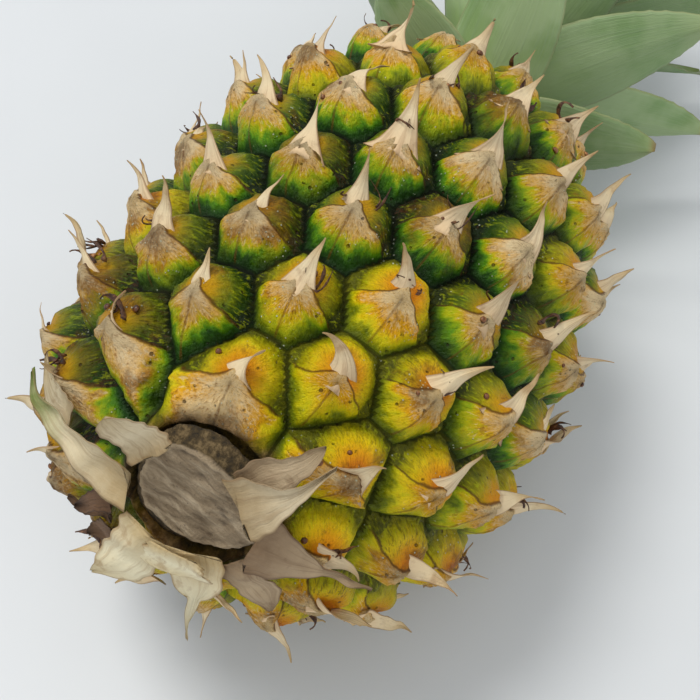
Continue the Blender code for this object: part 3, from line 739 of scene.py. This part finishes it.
# %% papery finish
def papery_finish(name, foot, middle, end, vein, stain_share, vein_rate, length_rate):
    """A dry scale: colours from foot to end, veins lengthwise, brown stains, and a darker edge."""
    make = Recipe(name)
    along, across, seed = make.mark("blade")
    where = make.place()
    lengthwise = make.vector(make.times(across, vein_rate), make.times(along, length_rate),
                             make.times(seed, 23.0))
    veins = make.noise(lengthwise, 1.0, 4.0, 0.6)
    stains = make.noise(where, 210.0, 4.0, 0.6)
    grain = make.noise(where, 1700.0, 2.0, 0.5)
    wander = make.plus(along, make.times(make.minus(stains, 0.5), 0.5), clamp=True)
    colour = make.ramp(wander, ((0.0, foot), (0.5, middle), (1.0, end)))
    colour = make.mix(make.times(make.between(veins, 0.50, 0.64), 0.30), colour, vein)
    colour = make.mix(make.times(make.between(stains, 0.56, 0.70), stain_share), colour, vein)
    rim = make.between(make.math("ABSOLUTE", across), 0.86, 1.0)
    colour = make.mix(make.times(rim, 0.60), colour, vein)
    colour = make.mix(make.times(make.between(seed, 0.4, 1.0), 0.22), colour, tint(128, 96, 62))
    height = make.plus(make.times(veins, 1.0), make.times(grain, 0.25))
    rough = make.plus(make.times(stains, 0.20), 0.62)
    return make.finish(Base_Color=colour, Roughness=rough, Normal=make.bump(height, 0.0006, 0.8))


tip_paper = papery_finish("bract_tip_paper", tint(224, 192, 148), tint(232, 212, 172), tint(214, 180, 124),
                          tint(142, 96, 54), 0.40, 3.6, 1.2)
put_on(bract_tips, tip_paper, "rind", "fruit_body")

# %% [markdown]
# ## Withered flowers
# Under many tips sits what is left of the flower: a twist of dark dry petals. They are short tapering tubes
# on a curling path, dropped on about a third of the eyes.

# %% withered flowers
def curls(root, ahead, outward, sideways, length, thick, turn, stations, around):
    """Round tapering tubes on a spiral path: each curls forwards by turn over its length."""
    s = np.linspace(0.0, 1.0, stations)[None, :]
    angle = turn[:, None] * s
    step = length[:, None] / (stations - 1)
    run, rise = np.cumsum(step * np.cos(angle), 1), np.cumsum(step * np.sin(angle), 1)
    drift = 0.35 * length[:, None] * np.sin(3.0 * s + turn[:, None])
    path = (root[:, None] + run[..., None] * ahead[:, None] + rise[..., None] * outward[:, None]
            + drift[..., None] * sideways[:, None])
    ring = np.linspace(0.0, 2.0 * math.pi, around, endpoint=False)
    reach = thick[:, None] * (1.0 - 0.8 * s) * (1.0 + 0.35 * np.sin(11.0 * s + turn[:, None]))
    normal = -np.sin(angle)[..., None] * ahead[:, None] + np.cos(angle)[..., None] * outward[:, None]
    flat_way = sideways[:, None, None] * np.cos(ring)[:, None] * 0.45
    ways = flat_way + normal[:, :, None] * np.sin(ring)[:, None]
    return path[:, :, None] + ways * reach[..., None, None]


dice = np.random.default_rng(9)
flowering = tipped[dice.uniform(size=len(tipped)) < 0.42]
flowering = np.repeat(flowering, 3)
some = len(flowering)
aside = dice.normal(0.0, 1.6, some)[:, None] * MM
flower_root = (eye_centre[flowering] + eye_normal[flowering] * 0.9 * MM + eye_across[flowering] * aside
               + eye_along[flowering] * dice.uniform(1.2, 3.2, some)[:, None] * MM)
heading = dice.normal(0.0, 0.9, some)[:, None]
flower_ahead = eye_along[flowering] * np.cos(heading) + eye_across[flowering] * np.sin(heading)
flower_side = eye_across[flowering] * np.cos(heading) - eye_along[flowering] * np.sin(heading)
flower_points = curls(flower_root, flower_ahead, eye_normal[flowering], flower_side,
                      dice.uniform(3.0, 7.5, some) * MM, dice.uniform(0.45, 1.1, some) * MM,
                      dice.uniform(0.6, 3.6, some), 10, 7)


def withered_finish():
    make = Recipe("withered_flower")
    where = make.place()
    fibres = make.noise(where, 900.0, 4.0, 0.65)
    colour = make.ramp(fibres, ((0.30, 26, 14, 9), (0.52, 84, 50, 28), (0.72, 150, 106, 66)))
    return make.finish(Base_Color=colour, Roughness=make.plus(make.times(fibres, 0.4), 0.35),
                       Normal=make.bump(fibres, 0.0005, 0.8))


withered = tubes_object("fruit_withered_flowers", settle(flower_points))
put_on(withered, withered_finish(), "rind", "fruit_body")

# %% [markdown]
# ## Beads of dried sap
# Here and there a drop of juice has dried to a small brown bead. Each is a low dome, a few loops of points
# that sit a little way into the rind.

# %% sap beads
def sap_beads(count):
    """Low domes at random places of random eyes: loops whose radius and height follow a quarter circle."""
    dice = np.random.default_rng(41)
    chosen = dice.integers(0, len(eye_t), count)
    aside, ahead = dice.normal(0.0, 3.2, (2, count, 1)) * MM
    base = eye_centre[chosen] + eye_across[chosen] * aside + eye_along[chosen] * ahead
    base = base - eye_normal[chosen] * (aside ** 2 + ahead ** 2) / (2.0 * FRUIT_RADIUS)
    height = rind_relief(base)[0][:, None]
    base = base + eye_normal[chosen] * (height - 0.1 * MM)
    size = dice.uniform(0.4, 0.95, count) * MM
    ring = np.linspace(0.0, 2.0 * math.pi, 8, endpoint=False)
    rise = np.linspace(-0.3, 1.35, 4)
    reach = np.cos(rise)[None, :, None] * size[:, None, None]
    flat = (eye_across[chosen][:, None, None] * np.cos(ring)[:, None] + eye_along[chosen][:, None, None]
            * np.sin(ring)[:, None]) * reach[..., None]
    lift = eye_normal[chosen][:, None, None] * (np.sin(rise) * 0.8)[:, None, None] * size[:, None, None, None]
    return base[:, None, None] + flat + lift


def sap_finish():
    make = Recipe("dried_sap")
    cloud = make.noise(make.place(), 700.0, 3.0, 0.6)
    colour = make.ramp(cloud, ((0.35, 58, 30, 14), (0.55, 120, 72, 34), (0.70, 176, 122, 70)))
    return make.finish(Base_Color=colour, Roughness=0.35, Normal=make.bump(cloud, 0.0003, 0.6))


beads = tubes_object("fruit_sap_beads", settle(sap_beads(80)))
put_on(beads, sap_finish(), "rind", "fruit_body")

# %% [markdown]
# ## The cut stem
# The fruit was cut from its stalk with a knife, and the cut has dried: grey, pitted pith in the middle and
# a paler ragged ring of fibres at the edge. At its foot the torn skin of the stalk flares out over the rind.
# One stack of loops makes it all: a low drum with a wider foot, and a top roughened in the mesh itself.

# %% cut stem
STEM_RADIUS = 13.0 * MM
STEM_FLATNESS = 0.76
STEM_TURN = math.radians(25.0)
STEM_LOW, STEM_HIGH = -3.8 * MM, -0.6 * MM


def stem_loops():
    """Rings from the torn foot, which flares out over the rind, up the side and in over the top. The top's
    height is pitted by slow and quick waves."""
    ring = np.linspace(0.0, 2.0 * math.pi, 120, endpoint=False)
    side = np.linspace(STEM_LOW, STEM_HIGH, 8)
    foot = np.concatenate([np.linspace(1.0, 0.0, 8), np.zeros(46)]) ** 1.3
    reach = np.concatenate([np.ones(8), np.linspace(0.99, 0.02, 46)])
    height = np.concatenate([side, np.full(46, STEM_HIGH)])
    ragged = 1.0 - 0.06 * np.cos(3.0 * ring + 0.6) + 0.012 * np.sin(11.0 * ring)
    ragged = ragged + 0.008 * np.sin(29.0 * ring + 1.0)
    x = STEM_RADIUS * (reach + 0.10 * foot)[:, None] * np.cos(ring) * ragged
    y = STEM_RADIUS * (reach * STEM_FLATNESS + 0.32 * foot)[:, None] * np.sin(ring) * ragged
    flat = np.stack([x, y, np.zeros_like(x)], -1)
    pits = 0.40 * MM * lumps(flat, 0.007, 51) + 0.14 * MM * lumps(flat * (0.4, 1.0, 1.0), 0.0013, 52)
    pits -= 0.7 * MM * ease(lumps(flat, 0.0030, 53), 1.35, 1.9)
    lip = 0.3 * MM * bump_at(reach[:, None] - 0.95, 0.04) * (1.0 + 0.7 * np.sin(7.0 * ring))
    on_top = (np.arange(len(reach)) >= 7)[:, None]
    level = height[:, None] + np.where(on_top, pits + lip, 0.0)
    long_way = STEM_SIDE * math.cos(STEM_TURN) + STEM_UP * math.sin(STEM_TURN)
    short_way = STEM_UP * math.cos(STEM_TURN) - STEM_SIDE * math.sin(STEM_TURN)
    points = STEM_POINT + x[..., None] * long_way + y[..., None] * short_way + level[..., None] * STEM_NORMAL
    mark = np.stack([np.broadcast_to((reach + foot)[:, None], x.shape), pits / MM, np.zeros_like(x)], -1)
    return points, mark, flat / MM


def pith_finish():
    make = Recipe("cut_pith")
    reach, pit, _ = make.mark("pith")
    where = make.place()
    long_way, short_way, _ = make.mark("grain")
    fibres = make.vector(make.times(long_way, 0.10), make.times(short_way, 0.42), 0.0)
    mottle = make.noise(fibres, 1.0, 5.0, 0.62)
    grain = make.noise(where, 1900.0, 3.0, 0.6)
    colour = make.ramp(mottle, ((0.30, 98, 80, 58), (0.50, 144, 126, 100), (0.70, 188, 170, 142)))
    # The deepest pits are darkened: painted shade in the pits.
    colour = make.mix(make.between(pit, -0.25, -1.0), colour, tint(58, 46, 38))
    ring = make.times(make.between(reach, 0.90, 0.97), 0.4)
    colour = make.mix(ring, colour, tint(188, 166, 134))
    bark = make.noise(where, 520.0, 5.0, 0.65)
    torn = make.ramp(bark, ((0.34, 30, 24, 12), (0.50, 78, 62, 34), (0.66, 132, 110, 74)))
    colour = make.mix(make.between(reach, 0.995, 1.12), colour, torn)
    holes = make.cells(where, 780.0)
    colour = make.mix(make.times(make.between(holes, 0.18, 0.08), 0.45), colour, tint(66, 54, 46))
    height = make.plus(make.plus(mottle, bark), make.times(grain, 0.5))
    return make.finish(Base_Color=colour, Roughness=0.88, Normal=make.bump(height, 0.0008, 0.9))


stem_points, stem_mark, stem_grain = stem_loops()
stem = tubes_object("stem_cut_face", stem_points[None], {"pith": stem_mark[None], "grain": stem_grain[None]})
put_on(stem, pith_finish(), "stem_pith", "cut_stem")

# %% [markdown]
# ## Dry bracts round the stem
# The lowest bracts bear no fruit. They dry to cream or grey paper and stand round the stem like a torn
# collar: boat-shaped, split and curled at the edges. Each is its own piece, on the plan of its solid, with
# a ragged outline and creases that the plain solid leaves out. A few torn dark scales stand among them.

# %% basal bracts
# direction round the stem in degrees, start, length, width, height over the crests, rise at the tip, cup,
# sideways bend (metres), how fast it narrows, how far along it turns into a tail (0: no tail), a crease
# along it (metres), how grey it is, and how green its tip is
BASAL_BRACTS = (
    (2, 0.0130, 0.0275, 0.0118, 0.0030, 0.0100, 0.0030, 0.0095, 1.15, 0.00, 0.0000, 0.34, 1.0),
    (45, 0.0125, 0.0115, 0.0130, 0.0032, 0.0070, 0.0030, -0.0020, 0.60, 0.00, 0.0026, 0.45, 0.0),
    (-57, 0.0110, 0.0210, 0.0185, 0.0042, 0.0050, 0.0010, 0.0010, 0.95, 0.00, 0.0034, 0.05, 0.0),
    (-84, 0.0105, 0.0070, 0.0160, 0.0052, 0.0000, 0.0002, 0.0010, 0.30, 0.00, 0.0000, 0.00, 0.0),
    (-98, 0.0115, 0.0310, 0.0180, 0.0026, 0.0090, 0.0012, 0.0040, 0.60, 0.48, 0.0010, 0.00, 0.0),
    (138, 0.0125, 0.0155, 0.0090, 0.0020, 0.0025, 0.0016, 0.0010, 0.80, 0.00, 0.0010, 0.75, 0.0),
    (150, 0.0110, 0.0200, 0.0172, 0.0048, 0.0070, 0.0026, -0.0030, 2.10, 0.00, 0.0020, 0.50, 0.0),
    (-165, 0.0135, 0.0245, 0.0175, 0.0030, 0.0040, 0.0016, 0.0020, 0.85, 0.60, 0.0012, 0.90, 0.0),
    (-128, 0.0150, 0.0160, 0.0125, 0.0014, 0.0014, 0.0008, 0.0010, 0.80, 0.00, 0.0008, 0.85, 0.0),
    (5, 0.0305, 0.0110, 0.0095, 0.0014, 0.0060, 0.0016, 0.0050, 1.00, 0.00, 0.0006, 0.40, 0.0),
)
# torn dark scales on the shaded side, in the same terms
DARK_SCALES = (
    (-24, 0.0190, 0.0110, 0.0060, 0.0018, 0.0020, 0.0020, -0.0030, 0.90, 0.00, 0.0010, 0.30, 0.0),
    (-34, 0.0230, 0.0100, 0.0080, 0.0008, 0.0015, 0.0020, 0.0020, 0.90, 0.60, 0.0020, 1.70, 0.0),
    (-45, 0.0260, 0.0090, 0.0080, 0.0012, 0.0015, 0.0015, -0.0020, 0.90, 0.00, 0.0010, 1.50, 0.0),
)


def over_base(places, height):
    """Slides places of the stem's plane along the stem until each is this high over the crests, by halving
    the interval between a depth inside the fruit and one outside it."""
    inner = np.full(places.shape[:-1], -0.030)
    outer = np.full(places.shape[:-1], 0.002)
    for _ in range(18):
        middle = 0.5 * (inner + outer)
        spot = places + STEM_NORMAL * middle[..., None]
        t = np.clip((spot[..., 0] + REST_X) / FRUIT_LENGTH, 0.0, 1.0)
        lean = np.clip(1.0 - 2.0 * t, 0.0, 1.0) ** 2
        reach = np.hypot(spot[..., 1] - BASE_LEAN[0] * lean, spot[..., 2] - AXIS_HEIGHT - BASE_LEAN[1] * lean)
        inside = reach < outline_radius(t)
        inner, outer = np.where(inside, middle, inner), np.where(inside, outer, middle)
    return places + STEM_NORMAL * (inner + height)[..., None]


def scale_of_bract(row, number):
    """A tapering scale over the base: width falls to the tip or to a twisted tail, the edges are cupped and
    torn, and creases run along it. Its height over the crests grows with the square of the way along."""
    heading, start, length, width, level, rise, cup, bend, power, tail, crease, grey, _ = row
    angle = math.radians(heading)
    out = STEM_SIDE * math.cos(angle) + STEM_UP * math.sin(angle)
    across = STEM_UP * math.cos(angle) - STEM_SIDE * math.sin(angle)
    share, side = flat_section(12)
    s = np.linspace(0.0, 1.0, 48)[:, None]
    end = tail if tail > 0.0 else 1.0
    half = 0.5 * width * (0.74 + 0.75 * s) * np.clip(1.0 - s / end, 0.0, 1.0) ** power
    half = np.maximum(half, (0.0011 if tail > 0.0 else 0.0) * (1.0 - s) ** 0.5) + 0.0003
    torn = 1.0 + 0.10 * np.sin(9.0 * s + number) + 0.05 * np.sin(31.0 * s + 2.0 * number) * np.sign(share)
    twist = ease(s, end, 1.0) * 2.4 if tail > 0.0 else 0.0 * s
    sideways = half * torn * share * np.cos(twist) + bend * s ** 2 + 0.0012 * np.sin(5.0 * s + number) * s
    reach = start + length * s - 0.0012 * np.abs(share) ** 3 * np.sin(4.0 * share + number) * (1.0 - s)
    spot = np.stack(np.broadcast_arrays(reach, sideways, 0.1 * number), -1)
    height = level + rise * s ** 2 + cup * share ** 2 * (1.0 - 0.6 * s) + half * torn * share * np.sin(twist)
    height = height - crease * np.abs(share - 0.25) * (1.0 - s) + crease * 0.5
    height = height + 0.5 * MM * lumps(spot, 0.009, 60 + number) * ease(s, 0.0, 0.3)
    creases = np.sin(share * 15.0 + 2.0 * lumps(spot, 0.012, 80 + number))
    height = height + 0.03 * MM * creases + side * 0.15 * MM
    flat = STEM_POINT + out * (reach + 0.0 * share)[..., None] + across * sideways[..., None]
    points = over_base(flat, height)
    mark = np.stack(np.broadcast_arrays(s, share[None], grey), -1)
    return settle(points), mark


def blended(light, dull, grey):
    return tuple(a + (b - a) * grey for a, b in zip(light, dull))


def bract_finish(number, grey, green):
    """Cream to grey paper, one recipe with its own colours for each piece."""
    end = blended(tint(222, 204, 160), tint(150, 124, 92), grey)
    if green > 0.0:
        end = tint(118, 140, 56)
    return papery_finish(
        "basal_paper_%02d" % (number + 1), blended(tint(200, 176, 128), tint(108, 82, 58), grey),
        blended(tint(234, 224, 190), tint(186, 160, 126), grey), end,
        blended(tint(158, 122, 74), tint(84, 58, 38), grey), 0.45, 5.5, 1.3)


for number, row in enumerate(BASAL_BRACTS):
    label = "basal_bract_%02d" % (number + 1)
    bract_points, bract_mark = scale_of_bract(row, number)
    bract = tubes_object("dry_" + label, bract_points[None], {"blade": bract_mark[None]})
    put_on(bract, bract_finish(number, *row[-2:]), "dry_bract", label)

dark_paper = papery_finish("dark_scale_paper", tint(98, 70, 46), tint(124, 90, 60), tint(58, 38, 24),
                           tint(34, 22, 15), 0.6, 5.5, 1.3)
dark_parts = [scale_of_bract(row, 20 + number) for number, row in enumerate(DARK_SCALES)]
dark_marks = {"blade": np.stack([mark for _, mark in dark_parts])}
dark_scales = tubes_object("fruit_dark_scales", np.stack([points for points, _ in dark_parts]), dark_marks)
put_on(dark_scales, dark_paper, "dry_bract", "fruit_body")

# %% [markdown]
# ## The crown
# The crown is a shoot on top of the fruit: a short stem and a rosette of stiff leaves, each turned from the
# last by the golden angle. Low leaves spread wide and high ones stand steeply, so in section the leaves are
# nested curves that never cross. Leaves that would pass through the table give way to it.

# %% crown measures and leaf paths
CORE_LENGTH = 0.072
CORE_BASE_RADIUS = 0.0125
CORE_TIP_RADIUS = 0.0045
CROWN_SEAT_DEPTH = 0.0030
LEAF_COUNT = 36
LEAF_TURN = math.radians(137.508)
LOWEST_LEAF = -0.0022
MOST_WRAP = 0.72
SQUEEZE_FROM = 0.024
TABLE_REACH = 0.090
LEAF_ROWS = 46


def core_radius(along):
    return CORE_BASE_RADIUS + (CORE_TIP_RADIUS - CORE_BASE_RADIUS) * along ** 0.8


def crown_places(x, radius, azimuth):
    """Points of the crown from cylinder coordinates. The space beyond SQUEEZE_FROM shrinks towards the
    table."""
    below = np.maximum(0.0, -np.sin(azimuth))
    room = (AXIS_HEIGHT - 1.2 * MM) / np.maximum(below, 0.2)
    slope = np.minimum(1.0, (room - SQUEEZE_FROM) / (TABLE_REACH - SQUEEZE_FROM))
    past = 4.0 * MM * np.logaddexp(0.0, (radius - SQUEEZE_FROM) / (4.0 * MM))
    settled = radius - (1.0 - slope) * past
    y, z = settled * np.cos(azimuth), settled * np.sin(azimuth) + AXIS_HEIGHT
    return np.stack([FRUIT_LENGTH - REST_X + x, y, z], -1)


LEAF_SHORTEST, LEAF_GROWTH, LEAF_HEART_LOSS = 34.0 * MM, 52.0 * MM, 42.0 * MM
LEAF_LONGEST_RANK = 0.5
LEAF_FREE_RADIUS, LEAF_FULL_RADIUS = 10.0 * MM, 70.0 * MM


def leaf_path(rank, length):
    """Stations along a leaf: place along the axis, radius, and slope. The slope depends on radius and rank
    only."""
    x = LOWEST_LEAF + rank * (CORE_LENGTH - 0.006)
    radius = core_radius((x + CROWN_SEAT_DEPTH) / (CORE_LENGTH + CROWN_SEAT_DEPTH)) + 0.4 * MM
    steeper = rank ** 0.6
    first, last = math.radians(80.0 - 64.0 * steeper), math.radians(90.0 - 60.0 * steeper)
    path = []
    step = length / (LEAF_ROWS - 1)
    for _ in range(LEAF_ROWS):
        share = (radius - LEAF_FREE_RADIUS) / (LEAF_FULL_RADIUS - LEAF_FREE_RADIUS)
        slope = first + (last - first) * min(1.0, max(0.0, share))
        path.append((x, radius, slope))
        x += step * math.cos(slope)
        radius += step * math.sin(slope)
    return np.array(path)


def leaf_length(rank):
    """Short at the bottom of the crown, longest halfway up, and shorter again in its heart."""
    rise = min(1.0, rank / LEAF_LONGEST_RANK)
    return LEAF_SHORTEST + LEAF_GROWTH * rise ** 0.9 - LEAF_HEART_LOSS * max(0.0, rank - LEAF_LONGEST_RANK)


print("leaf lengths in mm:", [round(leaf_length(k / 35) / MM) for k in (0, 4, 8, 20, 35)])

# %% [markdown]
# A leaf is thick and channelled, with a keel below, and its edges carry a few small hooks near the tip. The
# flat section from the bract tips serves again, this time wrapped round the crown's axis.

# %% leaf shape
def crown_leaf(number):
    rank = number / (LEAF_COUNT - 1)
    dice = np.random.default_rng(500 + number)
    azimuth = number * LEAF_TURN + 0.8
    path = leaf_path(rank, leaf_length(rank))
    x, radius, slope = (path[:, k][:, None] for k in range(3))
    s = np.linspace(0.0, 1.0, LEAF_ROWS)[:, None]
    share, side = flat_section(9)
    width = 0.0325 - 0.0155 * rank
    hooks = 0.35 * MM * np.maximum(0.0, np.sin(s * 88.0)) ** 3 * ease(s, 0.30, 0.6) * ease(s, 1.0, 0.93)
    half = 0.5 * width * (1.0 - s ** 1.7) ** 0.85 * (0.86 + 0.5 * s) + 0.25 * MM
    turn = np.minimum(half / radius, MOST_WRAP)
    bend = dice.normal(0.0, 0.10) * s ** 2
    thick = (1.5 - 0.7 * rank) * MM * (1.0 - 0.72 * s) * (1.0 - 0.75 * share ** 2) + 0.16 * MM
    lift = 1.5 * MM * share ** 2 * (0.3 + 0.7 * s) - 0.5 * MM * bump_at(share, 0.25) * (1.0 - 0.4 * s)
    lift = lift + 0.5 * MM * np.sin(7.0 * s + 6.0 * dice.uniform()) * share * ease(s, 0.1, 0.5)
    lift = lift + side * 0.5 * thick
    around = azimuth + bend + share * (turn + hooks / radius)
    points = crown_places(x + lift * np.sin(slope), radius - lift * np.cos(slope), around)
    mark = np.stack(np.broadcast_arrays(s, share[None], dice.uniform()), -1)
    face = np.stack(np.broadcast_arrays(side[None], rank, s), -1)
    return settle(points), mark, face


print("a leaf is", LEAF_ROWS, "loops of points along its path")

# %% [markdown]
# Crown leaves are green under a bloom of pale wax, so they look grey-green and nearly matt, with fine
# lengthwise lines. They pale to yellowish white at the foot, and some tips have dried.

# %% leaf finish
def leaf_finish():
    make = Recipe("crown_leaf_wax")
    along, across, seed = make.mark("blade")
    side, rank, _ = make.mark("face")
    where = make.place()
    lines = make.noise(make.vector(make.times(across, 13.0), make.times(along, 1.2),
                                   make.times(seed, 31.0)), 1.6, 4.0, 0.6)
    cloud = make.noise(where, 60.0, 3.0, 0.55)
    grain = make.noise(where, 1300.0, 2.0, 0.5)
    colour = make.ramp(along, (
        (0.00, 218, 222, 170), (0.14, 164, 188, 124), (0.42, 112, 148, 84),
        (0.80, 84, 134, 46), (1.00, 120, 138, 44)))
    colour = make.mix(make.times(make.between(lines, 0.48, 0.60), 0.35), colour, tint(132, 158, 120))
    bloom = make.times(make.between(cloud, 0.36, 0.60), 0.62)
    bloom = make.times(bloom, make.between(seed, -0.5, 0.9))
    colour = make.mix(bloom, colour, tint(182, 200, 156))
    under = make.between(side, 0.2, -0.2)
    colour = make.mix(make.times(under, 0.30), colour, tint(180, 198, 152))
    tip = make.between(make.plus(along, make.times(cloud, 0.10)), 0.98, 1.06)
    colour = make.mix(make.times(tip, make.between(seed, 0.2, 0.5)), colour, tint(150, 112, 58))
    rim = make.times(make.between(make.math("ABSOLUTE", across), 0.93, 1.0), 0.4)
    colour = make.mix(rim, colour, tint(150, 140, 92))
    light = make.plus(make.times(make.between(seed, 0.0, 1.0), 0.45), 0.72)
    colour = make.strengthen(colour, 1.05, light)
    height = make.plus(lines, make.times(grain, 0.12))
    rough = make.plus(make.times(bloom, 0.35), 0.40)
    return make.finish(Base_Color=colour, Roughness=rough, Normal=make.bump(height, 0.0006, 0.5))


leaf_wax = leaf_finish()
for number in range(LEAF_COUNT):
    leaf_points, leaf_mark, leaf_face = crown_leaf(number)
    leaf_marks = {"blade": leaf_mark[None], "face": leaf_face[None]}
    leaf = tubes_object("leaf_%02d" % (number + 1), leaf_points[None], leaf_marks)
    put_on(leaf, leaf_wax, "crown_leaf", "crown_leaf_%02d" % (number + 1))

# %% [markdown]
# The crown's own stem is hidden by the leaves except at its foot, where a pale scarred band shows.

# %% crown stem
def crown_stem_loops():
    """A tapering round stem with low rings where leaves have grown, closed to a bud at the top."""
    s = np.concatenate([np.linspace(0.0, 1.0, 70), [1.02, 1.04]])[:, None]
    ring = np.linspace(0.0, 2.0 * math.pi, 48, endpoint=False)[None]
    reach = core_radius(np.clip(s, 0.0, 1.0)) * np.where(s > 1.0, (1.06 - s) / 0.06, 1.0)
    reach = reach - 0.25 * MM * (1.0 + np.sin(s * 190.0 + 2.0 * np.sin(ring * 3.0))) - 0.1 * MM
    x = -CROWN_SEAT_DEPTH + 0.4 * MM + s * (CORE_LENGTH + CROWN_SEAT_DEPTH)
    return crown_places(x + 0.0 * ring, reach + 0.0 * ring, ring + 0.0 * s)


def crown_stem_finish():
    make = Recipe("crown_stem_skin")
    where = make.place()
    cloud = make.noise(where, 260.0, 4.0, 0.6)
    colour = make.ramp(cloud, ((0.3, 132, 128, 82), (0.5, 186, 186, 138), (0.72, 212, 208, 170)))
    return make.finish(Base_Color=colour, Roughness=0.6, Normal=make.bump(cloud, 0.0006, 0.7))


crown_stem = tubes_object("crown_stem", crown_stem_loops()[None])
put_on(crown_stem, crown_stem_finish(), "crown_stem", "crown_core")

# %% [markdown]
# ## Table, light and camera
# A pale matt table and one large soft light from the upper left, with a weak sky all round, give the soft
# shadow of a window. The camera stands over the base end and looks down on the fruit at a steep slant.

# %% table
TABLE_HALF_WIDTH = 1.6


def table_top():
    reach = TABLE_HALF_WIDTH
    mesh = bpy.data.meshes.new("table_top")
    corners = [(-reach, -reach, 0), (reach, -reach, 0), (reach, reach, 0), (-reach, reach, 0)]
    mesh.from_pydata(corners, [], [(0, 1, 2, 3)])
    made = bpy.data.objects.new("table_top", mesh)
    bpy.context.scene.collection.objects.link(made)
    make = Recipe("table_white")
    cloud = make.noise(make.place(), 6.0, 3.0, 0.5)
    colour = make.ramp(cloud, ((0.3, 216, 219, 222), (0.7, 224, 227, 230)))
    mesh.materials.append(make.finish(Base_Color=colour, Roughness=0.5))


table_top()

# %% light
def soft_light(name, place, aim, size, power, colour):
    lamp = bpy.data.lights.new(name, "AREA")
    lamp.shape, lamp.size, lamp.energy, lamp.color = "DISK", size, power, colour
    made = bpy.data.objects.new(name, lamp)
    bpy.context.scene.collection.objects.link(made)
    made.location = place
    look = np.array(aim) - np.array(place)
    yaw, fall = math.atan2(look[1], look[0]), math.atan2(math.hypot(look[0], look[1]), -look[2])
    made.rotation_euler = (fall, 0.0, yaw - math.pi / 2)


LIGHT_AIM = (0.0, 0.0, 0.05)
soft_light("window", (0.18, 0.97, 2.55), LIGHT_AIM, 1.08, 35.0, (1.0, 0.985, 0.95))
soft_light("room", (-0.9, -0.3, 0.9), LIGHT_AIM, 1.2, 2.0, (0.98, 0.99, 1.0))
world = bpy.data.worlds.new("soft_sky")
world.use_nodes = True
world.node_tree.nodes["Background"].inputs[0].default_value = (0.95, 0.975, 1.0, 1.0)
world.node_tree.nodes["Background"].inputs[1].default_value = 0.61
bpy.context.scene.world = world
bpy.context.scene.view_settings.view_transform = "Standard"
print("a window 1.08 m wide of 35 W, a weaker room light of 2 W, and a sky of strength 0.61")

# %% camera
CAMERA_PLACE = (-0.1520, -0.0782, 0.2914)
CAMERA_HEADING = 27.2
CAMERA_FALL = 56.2
CAMERA_LENS = 61.7


def add_camera():
    view = bpy.data.cameras.new("table_view")
    view.lens, view.sensor_width = CAMERA_LENS, 36.0
    view.clip_start = 10.0 * MM
    made = bpy.data.objects.new("table_view", view)
    bpy.context.scene.collection.objects.link(made)
    made.location = CAMERA_PLACE
    made.rotation_euler = (math.radians(90.0 - CAMERA_FALL), 0.0, math.radians(CAMERA_HEADING - 90.0))
    bpy.context.scene.camera = made
    print("the camera stands", round(CAMERA_PLACE[2] / MM), "mm above the table")


add_camera()
